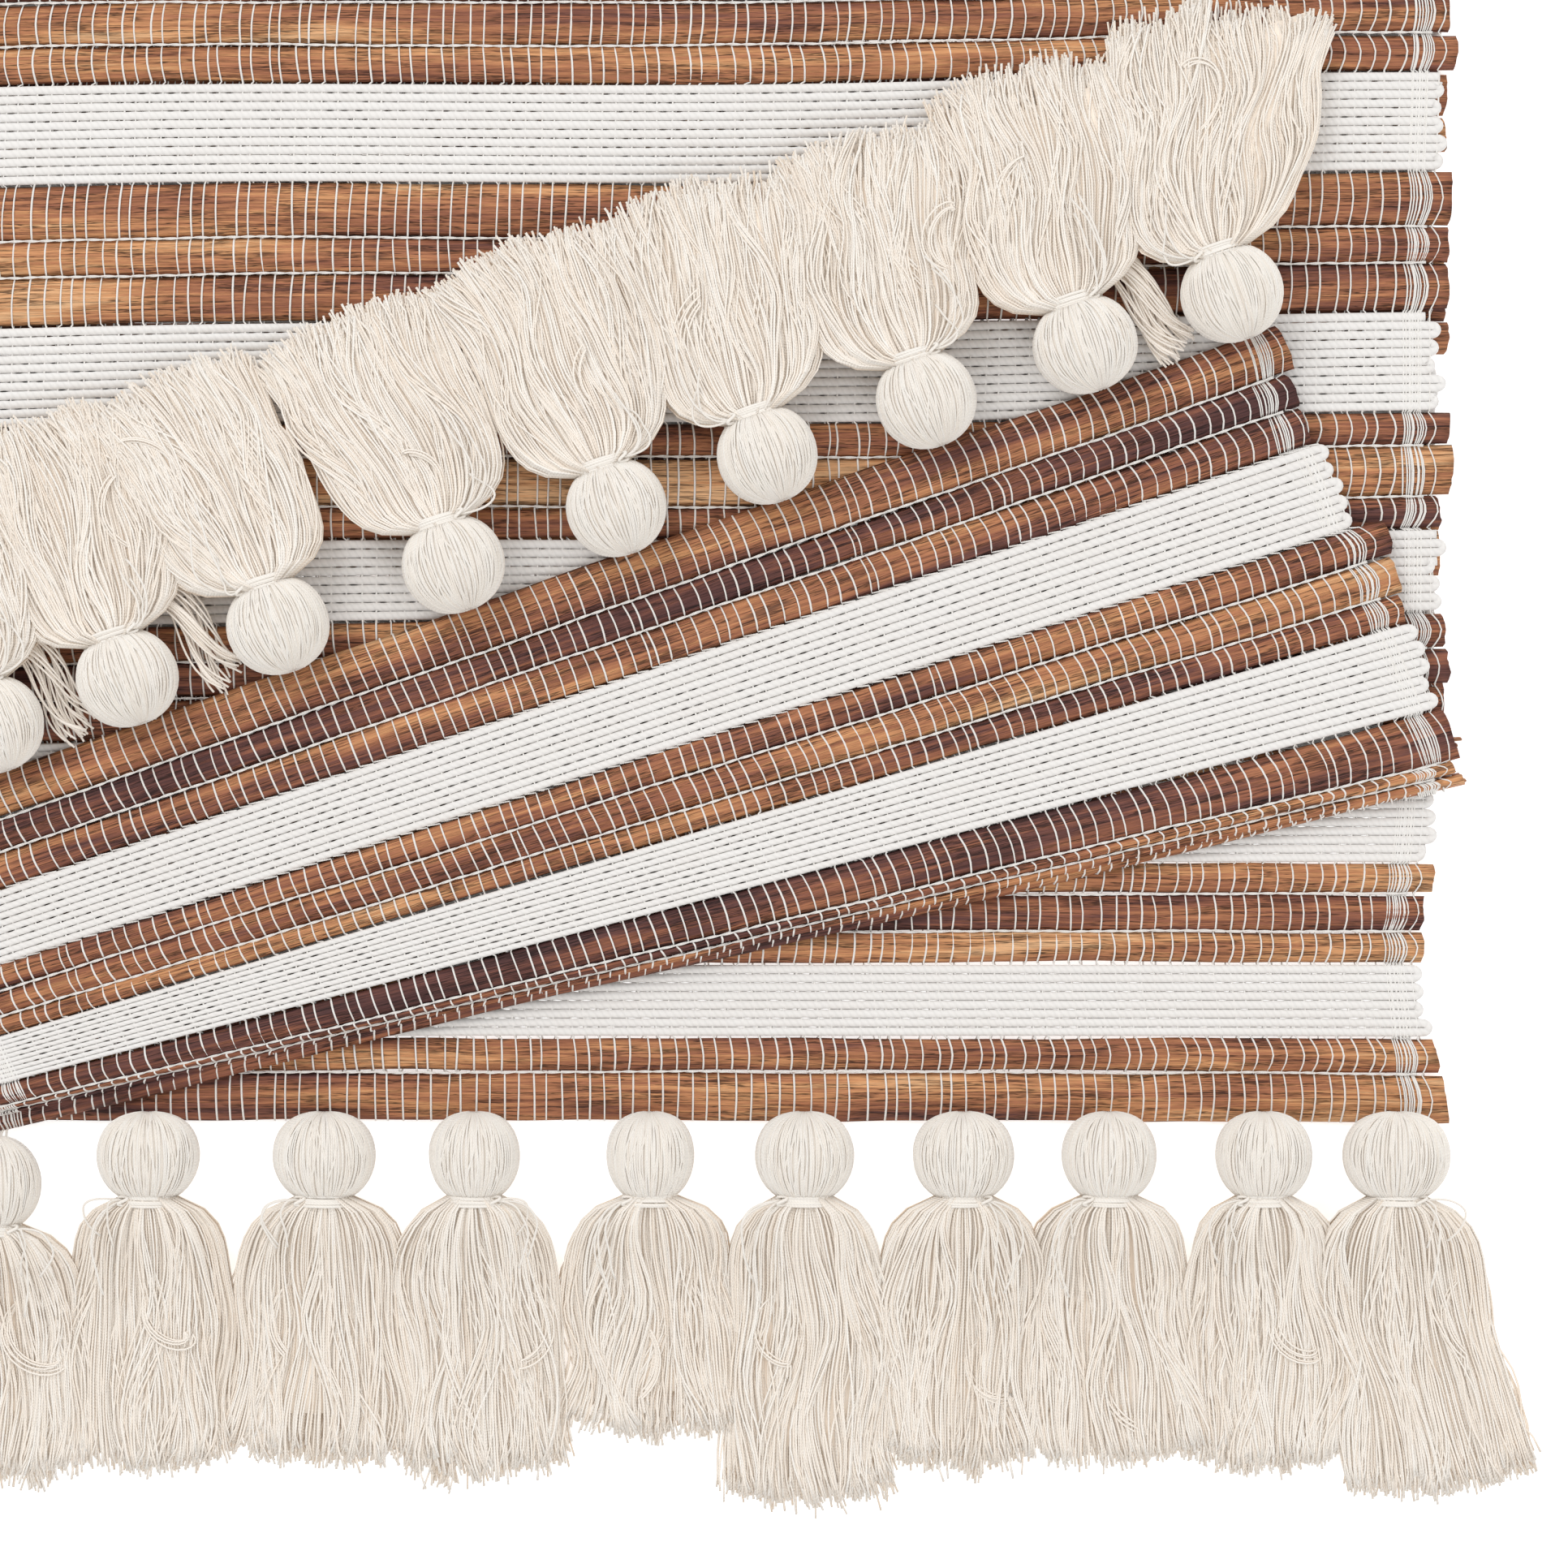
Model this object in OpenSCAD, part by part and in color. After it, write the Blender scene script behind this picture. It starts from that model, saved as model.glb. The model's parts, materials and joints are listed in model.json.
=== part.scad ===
// Table runner, folded in three on a flat surface.
// The lower run lies on the surface, the upper run comes back over it from the far fold,
// and the flap turns up over the upper run along a slanting fold.
// X runs along the slats, +Y from the near hem to the far fold, +Z up.
// The origin is the middle of the underside of the lower run. Millimetres.

/* [Cloth] */
// Width of the cloth, from slat end to slat end
cloth_w = 356; // [340:1:372]
// Length of the lower run, from the near hem to the far fold
lower_len = 800; // [780:1:820]
// Length of the upper run that lies square to the lower run, from the far fold
upper_len = 707; // [690:1:715]
// Clear gap between neighbouring rows of the weave
row_gap = 0.5; // [0.3:0.1:0.8]
// Clear gap between one layer of cloth and the next
layer_gap = 0.3; // [0.3:0.1:0.6]

/* [Bark slats] */
// Thickness of a slat at its crown
slat_t = 2.4; // [2:0.1:2.6]
// Thickness of a slat at its edges
slat_edge_t = 0.8; // [0.6:0.1:1]

/* [Cotton rope] */
// Diameter of the rope that is laid to and fro in the white bands
rope_d = 2.0; // [1.8:0.05:2.05]
// Distance from one pass of the rope to the next
rope_pitch = 2.1; // [2.1:0.05:2.2]
// How far the rope's turns stop short of the slat ends
rope_inset = 4; // [3:0.5:8]

/* [Threads] */
// Distance from one warp thread to the next
warp_pitch = 3.4; // [3:0.1:4]
// Width of a warp thread
warp_w = 0.6; // [0.4:0.1:0.8]
// Height of a warp thread
warp_t = 0.4; // [0.3:0.1:0.5]
// Threads in the selvage bundle at each side
selvage_threads = 8; // [4:1:10]
// Distance from the slat ends to the middle of the selvage bundle
selvage_inset = 8; // [7:0.5:10]
// Diameter of the yarn twined along the joint of two slats
twine_d = 0.8; // [0.6:0.1:0.9]
// Diameter of the yarn between the fold's slat and the narrow ones
fold_twine_d = 0.5; // [0.4:0.05:0.5]

/* [Flap] */
// Slant of the fold that the flap turns on, in degrees
fold_slant = 12.75; // [12:0.25:13.5]
// Slant of the flap's hem, in degrees
hem_slant = 19.2; // [18.5:0.1:20]
// Right end of the fold
fold_right = [179.7, -321.2];
// Right end of the flap's hem
hem_right = [139.6, -212.6];
// How much more the rows next to the fold are squeezed at the left end
squeeze = 0.5; // [0.3:0.05:0.6]

/* [Tassels] */
// Radius of a tassel's head
head_r = 11; // [10:0.5:11.5]
// Length of a tassel, from the hem to the tips
tassel_len = 82; // [75:1:90]
// Distance from the hem to the middle of a near tassel's head
near_head_off = 8.6; // [8.2:0.1:9.4]
// Distance from the hem to the head of the near tassel that the fold lies against
tucked_head_off = 14; // [14:0.5:16]
// Distance from the flap's hem to the middle of its tassels' heads
flap_head_off = 10; // [9.5:0.5:12]
// Radius of the yarn binding at the neck
neck_r = 6.6; // [6:0.1:7]
// Length of the neck binding
neck_len = 3.4; // [2.5:0.1:4]
// Half width of a skirt on the side where it has no neighbour
free_half_w = 17; // [14:1:20]

/* [Hidden] */
// Places of the tassels: across the near hem, and along the flap's hem from its left end.
near_x = [-163, -127, -86, -51, -10, 26, 63, 97, 133, 164];
flap_u = [4, 40, 73, 110, 153, 193, 230, 269, 308, 344];
// Rows of the weave: a number above zero is a slat of that width,
// one below zero is a cotton band of that many passes of rope.
hem_rows = [11.2, 7.7, -8, 7.1, 8.3, 6.7, -8];
plain_rows = [8.2, 9.6, 7.4, -11, 10.4, 7.8, 8.8, -11, 7.2, 9.0, 8.0, -10];
upper_first_rows = [8.9, 8, 8, -9, 7.1, 11.3, 7.5, -11, 10.9, 8, 12.4, -11, 8.4, 9.6, 9, -10];
fan_rows = [-10, 8, 9, 7, -10, 8, 9, 8];
flap_rows = [11, 7.7, 9, -10, 8, 8.7, 6.5, -10, 12, 2.9, 2.7];

near_y = -lower_len / 2;
far_y = lower_len / 2;
fan_y = far_y - upper_len;
layer_t = slat_t + warp_t + 0.1;
upper_z = layer_t + layer_gap;
flap_z = 2 * upper_z;
eps = 0.02;
groups = 4;
half_w = cloth_w / 2;
slat_facets = 8;
rope_facets = 6;
thread_inset = 1;
twine_inset = 2;
along = function(a) [cos(a), sin(a)];
fold_left = fold_right - cloth_w * along(fold_slant);
hem_left = hem_right - cloth_w * along(hem_slant);

bark = ["#96653F", "#B07B4B", "#8A5238", "#A5703F", "#6B4438", "#9A6A45", "#B9824F"];
cotton = "#F1EFEC";
thread = "#F3ECE0";
tassel_yarn = "#EFE8DC";

function depth(row) = row > 0 ? row : -row * rope_pitch;
function starts(rows) =
    [for (i = 0, s = 0; i < len(rows); s = s + depth(rows[i]) + row_gap, i = i + 1) s];
// As many whole rows as fit in a length.
function fitted(rows, length) =
    let (s = starts(rows)) [for (i = [0:len(rows) - 1]) if (s[i] + depth(rows[i]) <= length) rows[i]];
function repeated(rows, times) = [for (t = [1:times]) each rows];

lower_rows = fitted(concat(hem_rows, repeated(plain_rows, 8)), lower_len - 0.4);
lower_starts = starts(lower_rows);
upper_rows = fitted(concat(upper_first_rows, repeated(plain_rows, 7)), upper_len - 0.4);
upper_starts = starts(upper_rows);
fan_starts = starts(fan_rows);
flap_starts = starts(flap_rows);
fan_depth = fan_starts[len(fan_rows) - 1] + fan_rows[len(fan_rows) - 1] + row_gap;
flap_depth = flap_starts[len(flap_rows) - 1] + flap_rows[len(flap_rows) - 1];

// ---- Straight rows -------------------------------------------------------

// Height of a slat's top at the share t of its width.
function slat_top(t) = slat_edge_t + (slat_t - slat_edge_t) * sin(180 * t);

// A bark slat: flat below, crowned above, its near edge at y.
module slat(y, w, z, tone) {
    outline = [
        [0, 0],
        for (i = [0:slat_facets]) [w * i / slat_facets, slat_top(i / slat_facets)],
        [w, 0]
    ];
    color(bark[tone % len(bark)])
        translate([-half_w, y, z])
            rotate([90, 0, 90])
                linear_extrude(cloth_w) polygon(outline);
}

// One rope laid to and fro: straight passes joined by half-round turns.
module rope_band(y, passes, z) {
    reach = half_w - rope_inset - rope_pitch;
    color(cotton)
        translate([0, y + rope_pitch / 2, z + rope_d / 2])
            for (i = [0:passes - 1]) {
                translate([-reach, i * rope_pitch, 0])
                    rotate([0, 90, 0]) cylinder(d = rope_d, h = 2 * reach, $fn = 24);
                if (i < passes - 1) {
                    side = i % 2 == 0 ? 1 : -1;
                    translate([side * reach, (i + 0.5) * rope_pitch, 0])
                        rotate([0, 0, side > 0 ? -90 : 90])
                            rotate_extrude(angle = 180, $fn = 24)
                                translate([rope_pitch / 2, 0]) circle(d = rope_d, $fn = 24);
                }
            }
}

// The slats, or the cotton bands, of one quarter of a run.
module slats_of(rows, row_starts, y, z, quarter, first = 0) {
    for (i = [first:len(rows) - 1])
        if (rows[i] > 0 && floor(groups * i / len(rows)) == quarter)
            slat(y + row_starts[i], rows[i], z, i * 3 + quarter);
}

module bands_of(rows, row_starts, y, z, quarter) {
    for (i = [0:len(rows) - 1])
        if (rows[i] < 0 && floor(groups * i / len(rows)) == quarter)
            rope_band(y + row_starts[i], -rows[i], z);
}

// ---- Rows that fan out between two slanting lines ------------------------

// A row with straight edges from its left end to its right end, with its top
// following the heights in tops, spread evenly over its width.
module ruled_row(left_a, left_b, right_a, right_b, z, tops) {
    n = len(tops);
    function lid(a, b) = [for (i = [0:n - 1]) let (p = a + (b - a) * i / (n - 1)) [p.x, p.y, z + tops[i]]];
    function base(a, b) = [for (i = [0:n - 1]) let (p = a + (b - a) * i / (n - 1)) [p.x, p.y, z]];
    points = concat(lid(left_a, left_b), lid(right_a, right_b), base(left_a, left_b), base(right_a, right_b));
    left = 0;
    right = n;
    low_left = 2 * n;
    low_right = 3 * n;
    end = n - 1;
    faces = concat(
        [for (i = [0:n - 2]) [left + i, left + i + 1, right + i + 1, right + i]],
        [for (i = [0:n - 2]) [low_left + i, low_right + i, low_right + i + 1, low_left + i + 1]],
        [for (i = [0:n - 2]) [low_left + i, low_left + i + 1, left + i + 1, left + i]],
        [for (i = [0:n - 2]) [low_right + i, right + i, right + i + 1, low_right + i + 1]],
        [[low_left, left, right, low_right]],
        [[low_left + end, low_right + end, right + end, left + end]]
    );
    polyhedron(points, faces, convexity = 4);
}

// A slanting slat or cotton band, as its row number says. Bands stop short at both ends.
module spanned_row(left_a, left_b, right_a, right_b, z, row, tone) {
    s = row > 0 ? 0 : rope_inset / cloth_w;
    color(row > 0 ? bark[tone % len(bark)] : cotton)
        ruled_row(left_a + (right_a - left_a) * s, left_b + (right_b - left_b) * s,
            right_a + (left_a - right_a) * s, right_b + (left_b - right_b) * s, z,
            row > 0 ? slat_tops : rope_tops(-row));
}

slat_tops = [for (i = [0:slat_facets]) slat_top(i / slat_facets)];
function rope_tops(passes) =
    [for (i = [0:passes * rope_facets]) rope_d * (0.55 + 0.45 * abs(sin(180 * i / rope_facets)))];

// A point at the share t of the way down the left or right edge of the fan or of the flap.
function fan_point(t, side) =
    let (top = [side * half_w, fan_y], low = side > 0 ? fold_right : fold_left) top + (low - top) * t;
function flap_point(t, side) =
    side > 0
        ? hem_right + (fold_right - hem_right) * t
        : hem_left + (fold_left - hem_left) * (t + squeeze * t * (1 - t));

module fan_row(i) {
    t0 = (fan_starts[i] + row_gap) / fan_depth;
    t1 = (fan_starts[i] + depth(fan_rows[i])) / fan_depth;
    spanned_row(fan_point(t1, -1), fan_point(t0, -1), fan_point(t1, 1), fan_point(t0, 1),
        upper_z, fan_rows[i], i * 3);
}

module flap_row(i) {
    t0 = flap_starts[i] / flap_depth;
    t1 = (flap_starts[i] + depth(flap_rows[i])) / flap_depth;
    spanned_row(flap_point(t1, -1), flap_point(t0, -1), flap_point(t1, 1), flap_point(t0, 1),
        flap_z, flap_rows[i], i * 3);
}

// ---- Threads --------------------------------------------------------------

// Shares of the width at which warp threads run: even ones, then the bundle at each side.
bundle_step = warp_w + 0.1;
field_w = cloth_w - 2 * (selvage_inset + selvage_threads * bundle_step / 2 + warp_pitch / 2);
field_threads = floor(field_w / warp_pitch);
warp_shares = concat(
    [for (i = [0:field_threads]) 0.5 + (i - field_threads / 2) * warp_pitch / cloth_w],
    [for (side = [-1, 1], i = [0:selvage_threads - 1])
        0.5 + side * (0.5 - (selvage_inset + (i - (selvage_threads - 1) / 2) * bundle_step) / cloth_w)]
);

module thread_between(p, q, z) {
    run = q - p;
    color(thread)
        translate([p.x, p.y, z])
            rotate([0, 0, atan2(run.y, run.x)])
                translate([0, -warp_w / 2, 0]) cube([norm(run), warp_w, warp_t]);
}

module warp_field(left_a, left_b, right_a, right_b, z) {
    for (s = warp_shares)
        thread_between(left_a + (right_a - left_a) * s, left_b + (right_b - left_b) * s, z + slat_t + eps);
}

// The yarn twined in the groove between two slats.
module twine(p, q, z, d = twine_d) {
    run = q - p;
    color(thread)
        translate([p.x, p.y, z + slat_t - 0.05 - d / 2 - (d == twine_d ? 0.25 : 0)])
            rotate([0, 90, atan2(run.y, run.x)])
                translate([0, 0, twine_inset])
                    cylinder(d = d, h = norm(run) - 2 * twine_inset, $fn = 16);
}

module twining_of(rows, row_starts, y, z) {
    for (i = [1:len(rows) - 1])
        if (rows[i] > 0 && rows[i - 1] > 0)
            twine([-half_w, y + row_starts[i] - row_gap / 2], [half_w, y + row_starts[i] - row_gap / 2], z);
}

// ---- Tassels ----------------------------------------------------------------

// A tassel that points along -Y from the middle of its hem: hanging loop, head,
// neck binding and skirt, each its own solid. The skirt is left wide on its left
// and right wide on its right, so that it keeps clear of its neighbours.
module tassel(head_off, left, right) {
    neck_y = head_off + sqrt(head_r * head_r - neck_r * neck_r) + 0.2;
    skirt_y = neck_y + neck_len;
    loop_r = 0.8;
    loop_z = 1.6;
    shoulder = skirt_y + 11;
    color(tassel_yarn) {
        difference() {
            translate([0, -0.4, loop_z])
                rotate([90, 0, 0]) cylinder(r = loop_r, h = head_off - 0.4, $fn = 16);
            translate([0, -head_off, head_r]) sphere(head_r, $fn = 48);
        }
        intersection() {
            translate([0, -head_off, head_r]) sphere(head_r, $fn = 48);
            translate([-head_r, -neck_y, 0]) cube([2 * head_r, 2 * neck_y, 2 * head_r]);
        }
        intersection() {
            linear_extrude(2 * head_r)
                polygon([
                    [-neck_r, -skirt_y - eps], [-left * 0.8, -shoulder], [-left, -tassel_len * 0.7],
                    [-left, -tassel_len], [right, -tassel_len], [right, -tassel_len * 0.7],
                    [right * 0.8, -shoulder], [neck_r, -skirt_y - eps]
                ]);
            translate([-left, 0, 0])
                rotate([90, 0, 90])
                    linear_extrude(left + right)
                        polygon([
                            [-skirt_y, head_r - neck_r], [-shoulder, 0], [-tassel_len, 0],
                            [-tassel_len, head_r * 0.6], [-shoulder - 20, head_r], [-skirt_y, head_r + neck_r]
                        ]);
        }
    }
    color(thread)
        translate([0, -neck_y - eps, head_r])
            rotate([90, 0, 0]) cylinder(r = neck_r + 0.4, h = neck_len - eps, $fn = 32);
}

slot_gap = 0.4;
function slot_left(places, i) =
    i == 0 ? free_half_w : min(free_half_w + 4, (places[i] - places[i - 1]) / 2 - slot_gap);
function slot_right(places, i) =
    i == len(places) - 1 ? free_half_w : min(free_half_w + 4, (places[i + 1] - places[i]) / 2 - slot_gap);

module near_tassel(i) {
    translate([near_x[i], near_y, 0])
        tassel(i == 0 ? tucked_head_off : near_head_off, slot_left(near_x, i), slot_right(near_x, i));
}

// On the flap a tassel points away from the fold, so its left is its neighbour's right.
module flap_tassel(i) {
    place = hem_left + flap_u[i] * along(hem_slant);
    translate([place.x, place.y, flap_z])
        rotate([0, 0, hem_slant + 180])
            tassel(flap_head_off, slot_right(flap_u, i), slot_left(flap_u, i));
}

// ---- Nodes --------------------------------------------------------------------

module near_hem_slat() slat(near_y, lower_rows[0], 0, 0);
module lower_slats_1() slats_of(lower_rows, lower_starts, near_y, 0, 0, 1);
module lower_slats_2() slats_of(lower_rows, lower_starts, near_y, 0, 1);
module lower_slats_3() slats_of(lower_rows, lower_starts, near_y, 0, 2);
module lower_slats_4() slats_of(lower_rows, lower_starts, near_y, 0, 3);
module lower_cotton_1() bands_of(lower_rows, lower_starts, near_y, 0, 0);
module lower_cotton_2() bands_of(lower_rows, lower_starts, near_y, 0, 1);
module lower_cotton_3() bands_of(lower_rows, lower_starts, near_y, 0, 2);
module lower_cotton_4() bands_of(lower_rows, lower_starts, near_y, 0, 3);
module lower_warp_threads() {
    near_end = near_y + thread_inset;
    warp_field([-half_w, near_end], [-half_w, far_y], [half_w, near_end], [half_w, far_y], 0);
}
module lower_twining() twining_of(lower_rows, lower_starts, near_y, 0);

module upper_slats_1() slats_of(upper_rows, upper_starts, fan_y, upper_z, 0);
module upper_slats_2() slats_of(upper_rows, upper_starts, fan_y, upper_z, 1);
module upper_slats_3() slats_of(upper_rows, upper_starts, fan_y, upper_z, 2);
module upper_slats_4() slats_of(upper_rows, upper_starts, fan_y, upper_z, 3);
module upper_cotton_1() bands_of(upper_rows, upper_starts, fan_y, upper_z, 0);
module upper_cotton_2() bands_of(upper_rows, upper_starts, fan_y, upper_z, 1);
module upper_cotton_3() bands_of(upper_rows, upper_starts, fan_y, upper_z, 2);
module upper_cotton_4() bands_of(upper_rows, upper_starts, fan_y, upper_z, 3);
module upper_twining() twining_of(upper_rows, upper_starts, fan_y, upper_z);
module upper_warp_threads() {
    far_end = far_y - layer_gap;
    warp_field([-half_w, fan_y], [-half_w, far_end], [half_w, fan_y], [half_w, far_end], upper_z);
    warp_field(fan_point(1, -1), fan_point(0, -1), fan_point(1, 1), fan_point(0, 1), upper_z);
}
module fanned_slats() for (i = [0:len(fan_rows) - 1]) if (fan_rows[i] > 0) fan_row(i);
module fanned_cotton() for (i = [0:len(fan_rows) - 1]) if (fan_rows[i] < 0) fan_row(i);

module flap_hem_slat() flap_row(0);
module flap_outer_slats() for (i = [1, 2]) flap_row(i);
module flap_cotton_1() flap_row(3);
module flap_inner_slats() for (i = [4, 5, 6]) flap_row(i);
module flap_cotton_2() flap_row(7);
module fold_slats() for (i = [8, 9, 10]) flap_row(i);
module flap_warp_threads() {
    first = thread_inset / flap_depth;
    last = 0.998;
    warp_field(flap_point(last, -1), flap_point(first, -1), flap_point(last, 1), flap_point(first, 1),
        flap_z);
}
module flap_twining() {
    for (i = [1, 2, 5, 6, 9]) {
        t = (flap_starts[i] - row_gap / 2) / flap_depth;
        twine(flap_point(t, -1), flap_point(t, 1), flap_z, i < 9 ? twine_d : fold_twine_d);
    }
}

near_hem_slat();
lower_slats_1();
lower_slats_2();
lower_slats_3();
lower_slats_4();
lower_cotton_1();
lower_cotton_2();
lower_cotton_3();
lower_cotton_4();
lower_warp_threads();
lower_twining();
upper_slats_1();
upper_slats_2();
upper_slats_3();
upper_slats_4();
upper_cotton_1();
upper_cotton_2();
upper_cotton_3();
upper_cotton_4();
upper_warp_threads();
upper_twining();
fanned_slats();
fanned_cotton();
flap_hem_slat();
flap_outer_slats();
flap_inner_slats();
fold_slats();
flap_cotton_1();
flap_cotton_2();
flap_warp_threads();
flap_twining();
near_tassel(0);  // near_tassel_1
near_tassel(1);  // near_tassel_2
near_tassel(2);  // near_tassel_3
near_tassel(3);  // near_tassel_4
near_tassel(4);  // near_tassel_5
near_tassel(5);  // near_tassel_6
near_tassel(6);  // near_tassel_7
near_tassel(7);  // near_tassel_8
near_tassel(8);  // near_tassel_9
near_tassel(9);  // near_tassel_10
flap_tassel(0);  // flap_tassel_1
flap_tassel(1);  // flap_tassel_2
flap_tassel(2);  // flap_tassel_3
flap_tassel(3);  // flap_tassel_4
flap_tassel(4);  // flap_tassel_5
flap_tassel(5);  // flap_tassel_6
flap_tassel(6);  // flap_tassel_7
flap_tassel(7);  // flap_tassel_8
flap_tassel(8);  // flap_tassel_9
flap_tassel(9);  // flap_tassel_10
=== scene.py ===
"""A folded table runner of bark slats and cotton rope, with tassels, built round its CAD frame.

The lower run lies on the floor, the upper run comes back over it from the far fold, and the flap
turns up over the upper run along a slanting fold. Lengths are in millimetres until a mesh is made.
"""

import json
import math

import bpy
import numpy as np
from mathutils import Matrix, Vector


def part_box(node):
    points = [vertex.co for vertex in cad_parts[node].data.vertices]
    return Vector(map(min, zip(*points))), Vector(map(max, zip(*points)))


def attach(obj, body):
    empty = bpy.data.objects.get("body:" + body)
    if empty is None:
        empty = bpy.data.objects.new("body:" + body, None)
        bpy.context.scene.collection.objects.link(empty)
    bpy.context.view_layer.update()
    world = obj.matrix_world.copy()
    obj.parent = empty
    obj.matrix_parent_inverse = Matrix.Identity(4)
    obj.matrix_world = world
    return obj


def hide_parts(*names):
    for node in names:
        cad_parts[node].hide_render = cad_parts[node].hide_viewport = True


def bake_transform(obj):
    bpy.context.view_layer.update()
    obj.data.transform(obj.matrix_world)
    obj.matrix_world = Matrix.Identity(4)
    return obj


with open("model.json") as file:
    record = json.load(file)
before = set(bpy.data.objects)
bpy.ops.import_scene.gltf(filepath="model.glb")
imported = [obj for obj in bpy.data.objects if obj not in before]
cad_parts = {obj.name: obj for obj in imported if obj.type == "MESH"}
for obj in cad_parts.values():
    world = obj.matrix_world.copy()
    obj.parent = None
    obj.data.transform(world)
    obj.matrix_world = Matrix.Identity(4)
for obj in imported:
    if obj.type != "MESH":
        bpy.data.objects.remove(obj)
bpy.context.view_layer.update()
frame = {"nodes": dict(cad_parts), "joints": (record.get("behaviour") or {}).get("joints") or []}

MM = 0.001
SEED = 7
rng = np.random.default_rng(SEED)


def new_object(name, data):
    made = bpy.data.objects.new(name, data)
    bpy.context.scene.collection.objects.link(made)
    return made


# ---- Camera ----

# The middle and the width of what the camera sees of the floor.
VIEW_CENTRE = (21.2, -320.8)
VIEW_WIDTH = 369.4
LENS = 100.0
SENSOR = 36.0


def make_camera():
    """A camera that looks straight down on the near end."""
    data = bpy.data.cameras.new("camera")
    data.lens = LENS
    data.sensor_width = SENSOR
    data.clip_start = 0.01
    data.clip_end = 20
    camera = new_object("camera", data)
    height = VIEW_WIDTH * LENS / SENSOR
    camera.location = (VIEW_CENTRE[0] * MM, VIEW_CENTRE[1] * MM, height * MM)
    bpy.context.scene.camera = camera


make_camera()

# ---- Mesh making ----


class Heap:
    """The vertices and faces of one piece, gathered from many small parts."""

    def __init__(self):
        self.points, self.weft, self.tone, self.faces = [], [], [], []
        self.count = 0

    def add(self, points, faces, weft, tone):
        """weft holds each point's place along and across its strand, and the strand's seed."""
        self.points.append(points)
        self.weft.append(weft)
        self.tone.append(np.broadcast_to(tone, len(points)).astype(np.float32))
        self.faces += [f + self.count for f in faces]
        self.count += len(points)

    def make(self, name, material, body, slot, replaces=()):
        mesh = bpy.data.meshes.new(name)
        points = (np.concatenate(self.points) * MM).astype(np.float32)
        mesh.vertices.add(len(points))
        mesh.vertices.foreach_set("co", points.ravel())
        sizes = np.concatenate([np.full(len(f), f.shape[1]) for f in self.faces])
        corners = np.concatenate([f.ravel() for f in self.faces])
        mesh.loops.add(len(corners))
        mesh.loops.foreach_set("vertex_index", corners.astype(np.int32))
        mesh.polygons.add(len(sizes))
        starts = np.concatenate([[0], np.cumsum(sizes)[:-1]])
        mesh.polygons.foreach_set("loop_start", starts.astype(np.int32))
        mesh.update(calc_edges=True)
        mesh.shade_smooth()
        weft = mesh.attributes.new("weft", "FLOAT_VECTOR", "POINT")
        weft.data.foreach_set("vector", np.concatenate(self.weft).astype(np.float32).ravel())
        tone = mesh.attributes.new("tone", "FLOAT", "POINT")
        tone.data.foreach_set("value", np.concatenate(self.tone))
        mesh.materials.append(material)
        piece = new_object(name, mesh)
        if isinstance(body, str):
            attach(piece, body)
        else:
            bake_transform(piece)
        if replaces:
            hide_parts(*replaces)
        return piece


def unit(v):
    return v / np.maximum(np.linalg.norm(v, axis=-1, keepdims=True), 1e-9)


def strip_faces(count, rings, sides):
    """Quads round many tubes of the same number of rings, and a cap at each end of each."""
    tube = np.arange(count)[:, None, None] * rings * sides
    ring = np.arange(rings - 1)[None, :, None] * sides
    side = np.arange(sides)[None, None, :]
    here = tube + ring + side
    after = tube + ring + (side + 1) % sides
    quads = np.stack([here, here + sides, after + sides, after], axis=-1).reshape(-1, 4)
    first = (tube[:, :, 0] + np.arange(sides)).reshape(count, sides)
    last = (tube[:, :, 0] + (rings - 1) * sides + np.arange(sides)[::-1]).reshape(count, sides)
    return [quads, first, last]


def add_tubes(heap, paths, wide, tall, sides, tone, ref=(0.0, 0.0, 1.0), square=1.0):
    """Tubes along paths (tube, point, xyz). wide and tall are the radii across and along ref.

    A section is round where square is 1, and more like a rounded box the smaller it is.
    """
    count, rings, _ = paths.shape
    tangent = unit(np.gradient(paths, axis=1))
    ref = np.broadcast_to(np.asarray(ref, float), paths.shape)
    across = unit(np.cross(tangent, ref))
    over = np.cross(across, tangent)
    turn = 2 * math.pi * np.arange(sides) / sides + (math.pi / 6 if sides == 3 else 0)
    cos, sin = (np.sign(v) * np.abs(v) ** square for v in (np.cos(turn), np.sin(turn)))
    wide = np.broadcast_to(wide, (count, rings))[..., None, None]
    tall = np.broadcast_to(tall, (count, rings))[..., None, None]
    ring = cos[:, None] * across[:, :, None] * wide + sin[:, None] * over[:, :, None] * tall
    points = (paths[:, :, None] + ring).reshape(-1, 3)
    step = np.linalg.norm(np.diff(paths, axis=1), axis=-1)
    run = np.concatenate([np.zeros((count, 1)), np.cumsum(step, axis=1)], axis=1)
    weft = np.empty((count, rings, sides, 3))
    weft[..., 0] = run[..., None]
    weft[..., 1] = np.arange(sides) / sides
    weft[..., 2] = rng.uniform(0, 100, count)[:, None, None]
    tone = np.asarray(tone, float)
    tone = tone.reshape(-1, 1, 1) if tone.ndim < 2 else tone[..., None]
    tones = np.broadcast_to(tone, (count, rings, sides)).ravel()
    heap.add(points, strip_faces(count, rings, sides), weft.reshape(-1, 3), tones)


def wander(t, size, waves, rows=1):
    """A smooth random line over t, which runs 0 to 1, for each of several rows."""
    out = np.zeros((rows, len(t)))
    for k in range(1, 4):
        turns = rng.uniform(0.5, 1.0, (rows, 1)) * waves * k * 0.6
        phase = rng.uniform(0, 2 * math.pi, (rows, 1))
        out += np.sin(2 * math.pi * turns * t + phase) / k
    return out * size * 0.6


def mix(a, b, t):
    return a + (b - a) * t


def xyz(x, y, z):
    return np.stack(np.broadcast_arrays(x, y, z), axis=-1)


# ---- The weave, read from the frame ----

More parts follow.
